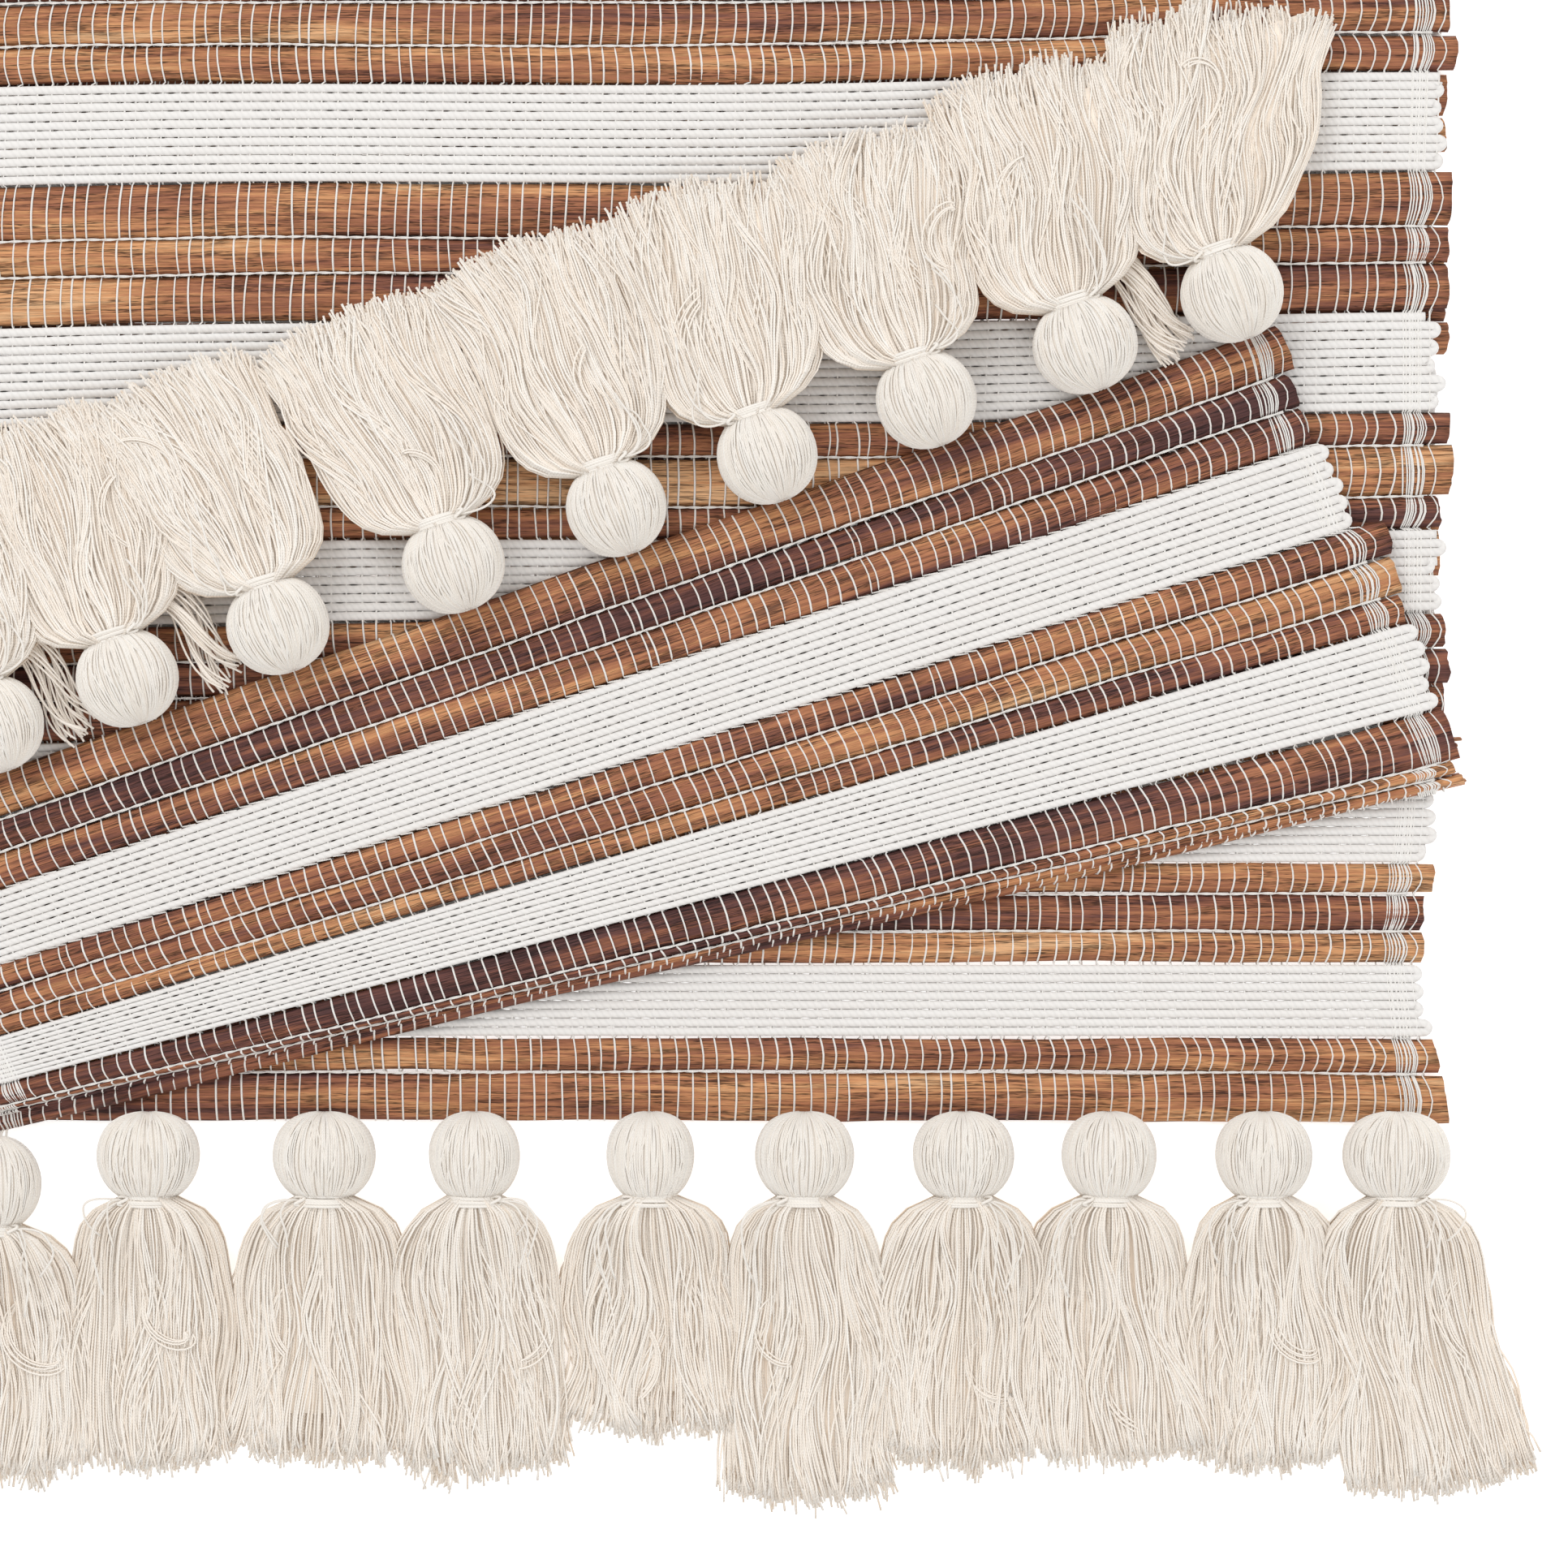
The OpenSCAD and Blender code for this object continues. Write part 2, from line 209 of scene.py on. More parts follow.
HALF_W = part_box("near_hem_slat")[1].x / MM
WIDTH = 2 * HALF_W
ROPE_PITCH = 2.1
ROPE_INSET = HALF_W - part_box("lower_cotton_1")[1].x / MM
SLAT_HEIGHT = 2.4
# Where the far fold lies.
FOLD_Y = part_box("upper_warp_threads")[1].y / MM + 0.3
# Rows nearer than these lines show from above at rest, and get the finest detail.
LOWER_VIEW_Y = -316.0
UPPER_VIEW_Y = -134.0


def solids(node):
    """The corner points of each separate solid of a CAD node."""
    mesh = frame["nodes"][node].data
    co = np.empty(len(mesh.vertices) * 3, np.float32)
    mesh.vertices.foreach_get("co", co)
    co = co.reshape(-1, 3).astype(float) / MM
    places, same = np.unique(np.round(co, 3), axis=0, return_inverse=True)
    same = same.ravel()
    ends = np.empty(len(mesh.edges) * 2, np.int32)
    mesh.edges.foreach_get("vertices", ends)
    a, b = same[ends.reshape(-1, 2)].T
    label = np.arange(len(places))
    while True:
        low = np.minimum(label[a], label[b])
        after = label.copy()
        np.minimum.at(after, a, low)
        np.minimum.at(after, b, low)
        after = after[after]
        if (after == label).all():
            break
        label = after
    return [places[label == k] for k in np.unique(label)]


class Row:
    """One row of the weave: a slat, or a band of rope passes."""

    def __init__(self, points, node):
        self.node = node
        self.rope = "cotton" in node
        self.z = points[:, 2].min()
        middle = points[:, 0].mean()
        left, right = points[points[:, 0] < middle], points[points[:, 0] >= middle]
        along = unit(right[:, :2].mean(0) - left[:, :2].mean(0))
        across = np.array([-along[1], along[0]])
        ruled = abs(along[1]) > 0.01 or "fanned" in node
        # The ends are the near and far corners on the left, then those on the right: the box's
        # corners for a straight band of rope, and the lowest corners of any other row.
        if self.rope and not ruled:
            (x0, y0), (x1, y1) = points.min(0)[:2], points.max(0)[:2]
            self.ends = [np.array(c) for c in ((x0, y0), (x0, y1), (x1, y0), (x1, y1))]
        else:
            self.ends = []
            for side in (left, right):
                base = side[side[:, 2] < self.z + 0.01][:, :2]
                reach = base @ across
                self.ends += [base[reach.argmin()], base[reach.argmax()]]
        if self.rope:
            push = along * ROPE_INSET
            self.ends = [e + way * push for e, way in zip(self.ends, (-1, -1, 1, 1), strict=True)]
        self.depths = [np.linalg.norm(self.ends[k + 1] - self.ends[k]) for k in (0, 2)]
        self.depth = self.depths[0] * 0.5 + self.depths[1] * 0.5
        self.passes = max(2, round(max(self.depths) / ROPE_PITCH)) if self.rope else 0
        self.tone = (0.5, 0.5)
        self.shift = 0.0
        self.tilt = (0.0, 0.0)  # How far the near and the far edge are raised.

    def slide(self, way):
        """Moves the row along itself."""
        along = unit(self.ends[2] - self.ends[0])
        self.ends = [end + along * way for end in self.ends]

    def at(self, share, t):
        """Points at shares of the width, and at shares t from the near edge to the far edge."""
        near = self.ends[0] + (self.ends[2] - self.ends[0]) * share[..., None]
        far = self.ends[1] + (self.ends[3] - self.ends[1]) * share[..., None]
        return near + (far - near) * t[..., None]


def rows_of(*nodes):
    """The rows of some CAD nodes, in order from the near edge."""
    rows = [Row(points, node) for node in nodes for points in solids(node)]
    return sorted(rows, key=lambda r: sum(e[1] for e in r.ends))


def numbered(name, count=4):
    return [f"{name}_{i}" for i in range(1, count + 1)]


lower = rows_of("near_hem_slat", *numbered("lower_slats"), *numbered("lower_cotton"))
fanned = ("fanned_slats", "fanned_cotton")
upper = rows_of(*fanned, *numbered("upper_slats"), *numbered("upper_cotton"))
flap_slats = ("flap_hem_slat", "flap_outer_slats", "flap_inner_slats", "fold_slats")
flap = rows_of(*flap_slats, *numbered("flap_cotton", 2))
RUNS = {"lower": lower, "upper": upper, "flap": flap}
BODIES = {"lower": "lower_run", "upper": "upper_run", "flap": "flap"}

# Tones at the left and right ends of the slats that show, from 0, dark plum, to 1, light tan, in
# order from the near edge.
LOWER_TONES = [(0.16, 0.72), (0.60, 0.56), (0.76, 0.86), (0.32, 0.22), (0.82, 0.80)]
UPPER_TONES = [
    (0.45, 0.45), (0.32, 0.28), (0.60, 0.50), (0.45, 0.60), (0.90, 0.84), (0.66, 0.34),
    (0.68, 0.34), (0.68, 0.34), (0.68, 0.48), (0.72, 0.46), (0.74, 0.40),
]
FLAP_TONES = [
    (0.20, 0.62), (0.20, 0.68), (0.20, 0.16), (0.66, 0.38), (0.50, 0.80), (0.62, 0.44),
    (0.52, 0.30), (0.26, 0.22), (0.58, 0.40),
]


def set_tones(rows, tones, start=0):
    """Gives the slats from start on the listed tones, and the others random ones."""
    # These draws are its own, so that a change here changes no shape.
    draw = np.random.default_rng(SEED + 1)
    slats = [r for r in rows if not r.rope]
    for row in slats:
        row.tone = draw.choice([0.2, 0.42, 0.5, 0.6, 0.72, 0.85]) + draw.uniform(-0.1, 0.1, 2)
        row.shift = draw.uniform(-2.0, 2.0)
    for row, tone in zip(slats[start:], tones, strict=False):
        row.tone = tone


set_tones(lower, LOWER_TONES)
set_tones(upper, UPPER_TONES, sum(row.node == "fanned_slats" for row in upper))
set_tones(flap, FLAP_TONES)
upper[0].tone = FLAP_TONES[0]  # It shows along the slanting fold.

# How far the flap's rows lie to the right of their places in the frame, from the fold to the hem.
FLAP_SLIDES = [0.0, 0.0, 3.0, 3.0, 2.5, 2.5, 2.5, 0.0, -3.2, -4.2, -1.9]
for flap_row, slide in zip(flap, FLAP_SLIDES, strict=True):
    flap_row.slide(slide)
# The slats in the slanting fold lie lower than those on the flap, and slope.
flap[0].tilt = (-2.9, -1.7)
flap[1].tilt = (-1.4, -0.3)


def settle(points, run):
    """Moves points of a run a little, as cloth lies: the same for whatever lies at one place."""
    x, y = points[..., 0], points[..., 1]
    out = points.copy()
    if run == "lower":
        out[..., 0] += -1.5 - 4.0 * np.exp(-(((y + 358) / 26) ** 2))
        out[..., 1] += -0.9 * np.exp(-(((x - 175) / 30) ** 2)) * np.exp(-(((y + 395) / 12) ** 2))
        out[..., 2] += 0.25 * (1 + np.sin(x / 41.0 + y / 57.0)) * (y > -385)
    if run == "upper":
        calm = np.clip((FOLD_Y - y) / 500, 0, 1)
        out[..., 0] += calm * (-1.2 * np.cos(y / 38.0) - 0.4)
        out[..., 1] += calm * (-3.6 * (0.5 - x / WIDTH) + 0.7 * np.sin(x / 43.0 + y / 90.0))
        out[..., 2] += 0.30 * (1 + np.sin(x / 37.0 - y / 49.0))
    if run == "flap":
        out[..., 2] += 0.5 + 0.35 * np.sin(x / 45.0 + y / 30.0)
    return out


# ---- Materials ----


class Nodes:
    """A short way to build a material's node tree."""

    def __init__(self, name):
        self.material = bpy.data.materials.new(name)
        self.material.use_nodes = True
        self.tree = self.material.node_tree
        self.shader = self.tree.nodes["Principled BSDF"]

    def add(self, kind, **values):
        """A new node, with some of its settings and the values of some inputs."""
        node = self.tree.nodes.new(kind)
        for key, value in values.items():
            if hasattr(node, key):
                setattr(node, key, value)
            else:
                node.inputs[key].default_value = value
        return node

    def set(self, **values):
        """Feeds inputs of the shader. An underscore stands for a space in an input's name."""
        for key, value in values.items():
            self.feed(self.shader.inputs[key.replace("_", " ")], value)

    def link(self, a, b):
        self.tree.links.new(a, b)

    def feed(self, socket, value):
        if isinstance(value, bpy.types.NodeSocket):
            self.link(value, socket)
        else:
            socket.default_value = value

    def math(self, operation, a, b=0.0, c=0.0, clamp=False):
        node = self.add("ShaderNodeMath", operation=operation, use_clamp=clamp)
        for socket, value in zip(node.inputs, (a, b, c), strict=False):
            self.feed(socket, value)
        return node.outputs[0]

    def attribute(self, name, output):
        return self.add("ShaderNodeAttribute", attribute_name=name).outputs[output]

    def noise(self, weft, along, across, detail, roughness):
        """Noise over the weft coordinates, which are scaled along and across the strand."""
        scaled = self.add("ShaderNodeVectorMath", operation="MULTIPLY")
        self.link(weft, scaled.inputs[0])
        scaled.inputs[1].default_value = (along, across, 1.0)
        node = self.add("ShaderNodeTexNoise", Scale=1.0, Detail=detail, Roughness=roughness)
        self.link(scaled.outputs[0], node.inputs["Vector"])
        return node.outputs["Fac"]

    def ramp(self, value, stops):
        """Turns a value into a colour. A stop has a place and a colour, or a number for a grey."""
        node = self.add("ShaderNodeValToRGB")
        node.color_ramp.interpolation = "LINEAR"
        marks = node.color_ramp.elements
        while len(marks) < len(stops):
            marks.new(0.5)
        for mark, (place, colour) in zip(marks, stops, strict=True):
            rgb = colour if isinstance(colour, tuple) else (colour, colour, colour)
            mark.position = place
            mark.color = (*rgb, 1.0)
        self.link(value, node.inputs["Fac"])
        return node.outputs["Color"]

    def mix(self, share, a, b, blend="MIX"):
        node = self.add("ShaderNodeMix", data_type="RGBA", blend_type=blend)
        self.feed(node.inputs["Factor"], share)
        self.feed(node.inputs[6], a)
        self.feed(node.inputs[7], b)
        return node.outputs[2]

    def bump(self, height, strength, distance):
        node = self.add("ShaderNodeBump", Strength=strength, Distance=distance)
        self.link(height, node.inputs["Height"])
        self.set(Normal=node.outputs["Normal"])


def bark_material():
    """Plant bark: tan to plum by the slat's tone, with grain, cracks and dark knots along it."""
    m = Nodes("bark")
    weft = m.attribute("weft", "Vector")
    tone = m.attribute("tone", "Fac")
    patches = m.noise(weft, 0.012, 0.11, 3.0, 0.55)
    grain = m.noise(weft, 0.045, 1.3, 4.0, 0.6)
    fibre = m.noise(weft, 0.14, 4.2, 3.0, 0.65)
    cracks = m.noise(weft, 0.034, 0.95, 4.0, 0.68)
    broken = m.noise(weft, 0.050, 0.5, 2.0, 0.5)
    stain = m.noise(weft, 0.035, 0.20, 3.0, 0.6)
    patch_part = m.math("MULTIPLY_ADD", patches, 1.8, -0.90)
    grain_part = m.math("MULTIPLY_ADD", grain, 0.9, -0.45)
    place = m.math("ADD", m.math("ADD", tone, patch_part), grain_part, clamp=True)
    colour = m.ramp(
        place,
        [
            (0.0, (0.085, 0.034, 0.032)),
            (0.20, (0.150, 0.057, 0.045)),
            (0.40, (0.300, 0.112, 0.062)),
            (0.60, (0.450, 0.188, 0.090)),
            (0.80, (0.620, 0.300, 0.135)),
            (1.0, (0.760, 0.450, 0.240)),
        ],
    )
    thin = m.ramp(fibre, [(0.34, 0.62), (0.50, 1.0), (0.68, 1.16)])
    colour = m.mix(1.0, colour, thin, "MULTIPLY")
    crack = [(0.462, 1.0), (0.490, 0.22), (0.510, 0.22), (0.538, 1.0)]
    line = m.ramp(cracks, crack)
    whole = m.ramp(broken, [(0.40, 0.0), (0.50, 1.0)])
    colour = m.mix(whole, colour, m.mix(1.0, colour, line, "MULTIPLY"))
    knot = m.ramp(stain, [(0.66, 0.0), (0.76, 0.75)])
    colour = m.mix(knot, colour, (0.060, 0.026, 0.020, 1.0))
    m.set(Base_Color=colour, Roughness=m.math("MULTIPLY_ADD", grain, 0.30, 0.45))
    m.set(Specular_IOR_Level=0.25)
    relief = m.math("ADD", grain, m.math("MULTIPLY", fibre, 0.7))
    m.bump(m.math("ADD", relief, m.math("MULTIPLY", line, 0.5)), 0.6, 0.0004)
    return m.material


def yarn_material(name, light, warm, twist, strength, glow=0.0):
    """Cotton yarn or rope: soft, with its twist in relief and small changes of colour.

    glow stands in for the light that passes from strand to strand inside loose cotton.
    """
    m = Nodes(name)
    weft = m.attribute("weft", "Vector")
    tone = m.attribute("tone", "Fac")
    part = m.add("ShaderNodeSeparateXYZ")
    m.link(weft, part.inputs[0])
    along = m.math("MULTIPLY", part.outputs[0], twist)
    lay = m.math("FRACT", m.math("ADD", along, part.outputs[1]))
    ridge = m.math("SINE", m.math("MULTIPLY", lay, 4 * math.pi))
    fuzz = m.noise(weft, 1.6, 6.0, 3.0, 0.6)
    cloud = m.noise(weft, 0.05, 0.4, 2.0, 0.5)
    # tone is a strand's own change of colour; in the skirt it also carries painted shade, darker
    # towards the underside.
    share = m.math("ADD", m.math("MULTIPLY_ADD", cloud, 0.6, -0.3), tone, clamp=True)
    colour = m.mix(share, (*warm, 1.0), (*light, 1.0))
    # Painted shade: the grooves of the twist are painted up to 6% darker.
    groove = m.ramp(m.math("MULTIPLY_ADD", ridge, 0.5, 0.5), [(0.0, 0.94), (0.5, 1.0)])
    colour = m.mix(1.0, colour, groove, "MULTIPLY")
    m.set(Base_Color=colour, Roughness=m.math("MULTIPLY_ADD", fuzz, 0.2, 0.78))
    m.set(Specular_IOR_Level=0.15, Sheen_Weight=0.2, Sheen_Roughness=0.5)
    if glow:
        m.set(Emission_Color=(1.0, 0.84, 0.68, 1.0), Emission_Strength=glow)
    m.bump(m.math("ADD", m.math("MULTIPLY", ridge, 0.5), fuzz), strength, 0.00015)
    return m.material


BARK = bark_material()
ROPE = yarn_material("cotton_rope", (0.820, 0.803, 0.785), (0.755, 0.712, 0.675), 0.30, 0.5)
THREAD = yarn_material("warp_thread", (0.890, 0.872, 0.846), (0.820, 0.775, 0.715), 0.90, 0.3)
HEAD = yarn_material(
    "tassel_head", (0.872, 0.840, 0.795), (0.840, 0.745, 0.640), 0.70, 0.35, glow=0.025
)
# The skirt's warm colour is the painted shade of its lower strands, as well as a change of colour.
SKIRT = yarn_material(
    "tassel_skirt", (0.930, 0.890, 0.838), (0.890, 0.740, 0.590), 0.70, 0.35, glow=0.06
)

# ---- Slats ----

# Points round a slat, on its top and under it, and along it where it shows and where it doesn't.
TOP_POINTS = 11
UNDER_POINTS = 6
FINE_LENGTH = 150
COARSE_LENGTH = 48
# A slat narrower than this has finer edges, in proportion.
FULL_RAG_DEPTH = 7.0


def slat_top(t):
    """Height of a slat's top at the share t of its width, as a share of its crown."""
    return 0.30 + 0.70 * np.sin(math.pi * np.clip(t, 0, 1)) ** 0.8


def in_view(row, run):
    """Whether a row shows from above at rest, and so needs its finest detail."""
    if "fanned" in row.node:
        return False
    return min(e[1] for e in row.ends) < (LOWER_VIEW_Y if run == "lower" else UPPER_VIEW_Y)


def add_slat(heap, row, run):
    """A crowned bark strip with wandering edges and ragged ends."""
    length = FINE_LENGTH if in_view(row, run) else COARSE_LENGTH
    share = np.linspace(0, 1, length)
    top = np.linspace(0, 1, TOP_POINTS)
    under = np.linspace(1, 0, UNDER_POINTS + 2)[1:-1]
    t = np.concatenate([top, under])
    lift = np.concatenate([slat_top(top), 0.10 * (1 - np.sin(math.pi * under))])
    near, far = (wander(share, 0.22, 9)[0] + wander(share, 0.30, 2.5)[0] for _ in range(2))
    crown = 1 + wander(share, 0.07, 3)[0] + wander(share, 0.03, 12)[0]
    around = np.concatenate([top, 2 - under])
    cut = rng.uniform(-0.9, 0.9, (2, 1)) * (t - 0.5)
    cut = cut - rng.uniform(0.1, 0.5, (2, 1)) * (2 * t - 1) ** 6
    ragged = cut + wander(t, 0.25, 2.2, 2) + rng.normal(0, 0.10, (2, len(t)))
    narrow = min(1.0, row.depth / FULL_RAG_DEPTH)
    ragged *= narrow  # It runs past each end of the slat.
    grow = ragged / WIDTH
    shares = share[:, None] * (1 + grow[0] + grow[1]) - grow[0] + row.shift / WIDTH
    places = row.at(shares, np.broadcast_to(t, shares.shape))
    side = unit(row.ends[1] - row.ends[0])
    push = (near[:, None] * (1 - t) + far[:, None] * t) * narrow
    places = places + side * push[..., None]
    z = row.z + SLAT_HEIGHT * lift * crown[:, None]
    z = z + row.tilt[0] + (row.tilt[1] - row.tilt[0]) * t
    points = settle(np.concatenate([places, z[..., None]], axis=-1), run)
    weft = np.empty((length, len(t), 3))
    weft[..., 0] = share[:, None] * WIDTH
    weft[..., 1] = around * row.depth
    weft[..., 2] = rng.uniform(0, 300)
    tone = np.repeat(mix(*row.tone, share), len(t))
    heap.add(points.reshape(-1, 3), strip_faces(1, length, len(t)), weft.reshape(-1, 3), tone)


def make_slats(name, run, node):
    """A piece for the slats of one CAD node."""
    heap = Heap()
    for row in RUNS[run]:
        if row.node == node:
            add_slat(heap, row, run)
    heap.make(name, BARK, BODIES[run], "bark_slat", [node])


# ---- Warp threads' places ----

WARP_PITCH = 3.4
# Threads in each selvage bundle, its distance from the slats' ends, and the step in it.
SELVAGE = 9
SELVAGE_INSET = 8.0
BUNDLE_STEP = 0.50
BUNDLE_SPREAD = 0.10
FIELD_MARGIN = 12.6
field_count = int((WIDTH - 2 * FIELD_MARGIN) // WARP_PITCH)
field = 0.5 + (np.arange(field_count + 1) - field_count / 2) * WARP_PITCH / WIDTH


def bundle_shares():
    """The places of the selvage bundles' threads, in shares of the width, and their spread."""
    shares, spreads = [], []
    for side in (-1, 1):
        place = np.append(np.arange(SELVAGE) - (SELVAGE - 1) / 2, -SELVAGE / 2 - 3.6)
        step = place * BUNDLE_STEP + rng.normal(0, 0.05, SELVAGE + 1)
        shares.append(0.5 + side * (0.5 - (SELVAGE_INSET + step) / WIDTH))
        spreads.append(-side * place * BUNDLE_SPREAD)
    return np.concatenate(shares), np.concatenate(spreads)


# ---- Cotton rope ----

ROPE_R = 1.0
TURN_POINTS = 7
# How wide a groove gapes between two threads, and the rope's points from thread to thread.
SLIT = 0.11
PHASES = 4
# The rope's height as a share of its radius, how much lower it is under a thread, and how round
# its section is.
ROPE_FLAT = 0.82
TIED_DIP = 0.06
ROPE_SQUARE = 0.66


def slit_lines(passes, count):
    """How far each groove of a band gapes at each point, in dashes that shift between grooves."""
    steps = np.arange(count) / PHASES
    out = np.zeros((passes + 1, count))
    for g in range(1, passes):
        shifted = steps + 0.5 * (g % 2)
        share = rng.choice([0.15, 0.6, 1.0, 1.25], count // PHASES + 3)
        gape = np.where((shifted % 1 > 0.1) & (shifted % 1 < 0.7), 1.0, 0.0)
        out[g] = gape * share[shifted.astype(int)]
    return out * SLIT


def rope_turn(line, side, half):
    """The points of the turn from the end of one pass round to the start of the next."""
    out = unit(line[-1, :2] - line[-2, :2])
    angle = np.linspace(0, math.pi, TURN_POINTS + 2)[1:-1]
    middle = line[-1, :2] + side * half
    bend = middle - side * half * np.cos(angle)[:, None]
    bend = bend + out * half * 1.3 * np.sin(angle)[:, None]
    return np.concatenate([bend, np.full((TURN_POINTS, 1), line[-1, 2])], axis=1)


def add_band(heap, row, run):
    """One rope laid to and fro: straight passes, with a turn at each end."""
    fine = in_view(row, run)
    passes = row.passes
    phases = PHASES if fine else 1
    steps = np.arange((len(field) - 1) * phases + 1)
    middle = np.interp(steps / phases, np.arange(len(field)), field)
    lead = ROPE_INSET / WIDTH
    tail = np.linspace(lead, middle[0], 13 if fine else 5)[:-1]
    share = np.concatenate([tail, middle, 1 - tail[::-1]])
    slits = np.zeros((passes + 1, len(share)))
    if fine:
        slits[:, len(tail) : -len(tail)] = slit_lines(passes, len(middle))
    side = unit(row.ends[1] - row.ends[0])
    pitch = mix(*row.depths, share) / passes
    ends = rng.uniform(-1.8, 1.2, (passes + 1, 2)) / WIDTH
    centres, wides, talls = [], [], []
    for k in range(passes):
        pair = (k // 2 * 2, (k + 1) // 2 * 2)
        reach = share.copy()
        n = len(tail)
        reach[:n] = np.linspace(share[0] + ends[pair[0], 0], share[n], n + 1)[:-1]
        reach[-n:] = np.linspace(share[-n - 1], share[-1] - ends[pair[1], 1], n + 1)[1:]
        place = row.at(reach, np.full(len(share), (k + 0.5) / passes))
        place = place + side * ((slits[k] - slits[k + 1]) / 2)[:, None]
        lift = row.z + ROPE_R + wander(share, 0.05, 5)[0] + wander(share, 0.03, 40)[0]
        line = np.concatenate([place, lift[:, None]], axis=1)
        swell = 1 + wander(share, 0.012, 14)[0]
        wide = (pitch * 0.505 - (slits[k] + slits[k + 1]) / 2) * swell
        tied = (slits[k] + slits[k + 1] < 0.01) * fine
        tall = ROPE_R * swell * (ROPE_FLAT - TIED_DIP * tied)
        if k % 2:
            line, wide, tall = line[::-1], wide[::-1], tall[::-1]
        centres.append(line)
        wides.append(wide)
        talls.append(tall)
        if k < passes - 1:
            half = (pitch[0] if k % 2 else pitch[-1]) / 2
            centres.append(rope_turn(line, side, half))
            wides.append(np.full(TURN_POINTS, max(half, 0.35)))
            talls.append(np.full(TURN_POINTS, ROPE_R * 0.95))
    path = settle(np.concatenate(centres), run)[None]
    tone = 0.80 + rng.uniform(-0.12, 0.12)
    wide, tall = (np.concatenate(sizes)[None] for sizes in (wides, talls))
    add_tubes(heap, path, wide, tall, 8 if fine else 6, tone, square=ROPE_SQUARE)


def make_ropes(name, run, node):
    """A piece for the bands of one CAD node."""
    heap = Heap()
    bands = [row for row in RUNS[run] if row.node == node]
    for row in bands:
        add_band(heap, row, run)
    piece = heap.make(name, ROPE, BODIES[run], "cotton_rope", [node])


# ---- Warp threads ----

THREAD_R = 0.22
BUNDLE_R = 0.18
# How high threads lie over the middle of a rope band, in rope radii: in a groove between two
# passes, and a selvage bundle's on top of a pass.
GROOVE = 0.30
BUNDLE_GROOVE = 0.55
BUNDLE_CREST = 0.64
# Shares of a slat's depth at which a thread has a point.
FINE_MARKS = (0.0, 0.10, 0.28, 0.5, 0.72, 0.90, 1.0)
COARSE_MARKS = (0.02, 0.3, 0.7, 0.98)
UNDER_MARKS = (0.03, 0.5, 0.97)


def stations(run, under, bundle):
    """The points that a warp thread passes: a row, the share of its depth, and the height there."""
    out = []
    turn = -1 if under else 1
    groove = turn * ROPE_R * (BUNDLE_GROOVE if bundle else GROOVE)
    crest = turn * ROPE_R * BUNDLE_CREST
    for row in RUNS[run]:
        fine = in_view(row, run) and not under
        middle = row.z + ROPE_R
        if row.rope:
            for i in range(0, row.passes + 1, 1 if fine else 3):
                out.append((row, i / row.passes, middle + groove))
                if fine and bundle and i < row.passes:
                    out.append((row, (i + 0.5) / row.passes, middle + crest))
        elif under:
            out += [(row, t, row.z - THREAD_R * 0.5) for t in UNDER_MARKS]
        else:
            for t in FINE_MARKS if fine else COARSE_MARKS:
                out.append((row, t, row.z + SLAT_HEIGHT * slat_top(t) + THREAD_R * 0.75))
    return out


def add_threads(heaps, run, shares, spreads, under, bundle):
    """Warp threads at shares of the width, over or under all the rows, dealt out to the heaps."""
    points = []
    count = len(shares)
    drift = np.zeros(count)
    drift_step, slant_step, bow_step = (0.00035, 0.0002, 0.05) if bundle else (0.0007, 0.0007, 0.15)
    last = None
    for row, t, z in stations(run, under, bundle):
        if row is not last:
            drift = drift * 0.6 + rng.normal(0, drift_step, count)
            slant = rng.normal(0, slant_step, count) + rng.normal(0, 0.0012)
            bow = rng.uniform(0.3, 1.3) + rng.normal(0, bow_step, count)
            bow = bow * (shares * 1.5 - 0.45) * (0.2 if row.rope else 1.0)
            last = row
        swing = math.sin(math.pi * t) * (bow + (0 if row.rope else spreads)) / WIDTH
        place = row.at(shares + drift + slant * (t - 0.5) + swing, np.full(count, t))
        level = np.full((count, 1), z) + mix(*row.tilt, t)
        points.append(np.concatenate([place, level], axis=1))
    paths = settle(np.stack(points, axis=1), run)
    radius = (BUNDLE_R if bundle else THREAD_R) * rng.uniform(0.85, 1.15, (count, 1))
    tone = 0.85 + rng.uniform(-0.2, 0.15, count)
    sides = 3 if under else 4
    for heap, part in zip(heaps, np.array_split(np.arange(count), len(heaps)), strict=True):
        add_tubes(heap, paths[part], radius[part], radius[part] * 0.9, sides, tone[part])


# The height of the twining in shares of a slat's, its yarn's radius and the radius of its twist.
TWINE_LEVEL = 0.66
TWINE_R = 0.17
TWINE_SWING = 0.16
COARSE_TWINE_R = 0.38


def add_twining(heap, run):
    """Two yarns twisted round each other along the groove between two slats."""
    rows = RUNS[run]
    for near, far in zip(rows, rows[1:], strict=False):
        if near.rope or far.rope:
            continue
        fine = in_view(far, run)
        count = len(field) * 4 if fine else len(field) // 2
        share = np.linspace(0.008, 0.985, count)
        place = mix(near.at(share, np.full(count, 1.0)), far.at(share, np.full(count, 0.0)), 0.5)
        side = unit(near.ends[1] - near.ends[0])
        place = place + (wander(share, 0.2, 7)[0] + wander(share, 0.08, 50)[0])[:, None] * side
        level = near.z + SLAT_HEIGHT * TWINE_LEVEL + near.tilt[1]
        base = np.concatenate([place, np.full((count, 1), level)], axis=1)
        turns = 2 * math.pi * share * len(field) * 0.5
        out = np.append(side, 0.0)
        strands = []
        for phase in (0, math.pi):
            swing = TWINE_SWING * np.sin(turns + phase)[:, None] * out
            swing[:, 2] += TWINE_SWING * np.cos(turns + phase)
            strands.append(base + swing)
        paths = settle(np.stack(strands) if fine else base[None], run)
        radius = TWINE_R if fine else COARSE_TWINE_R
        add_tubes(heap, paths, radius, radius, 4 if fine else 3, 0.8)


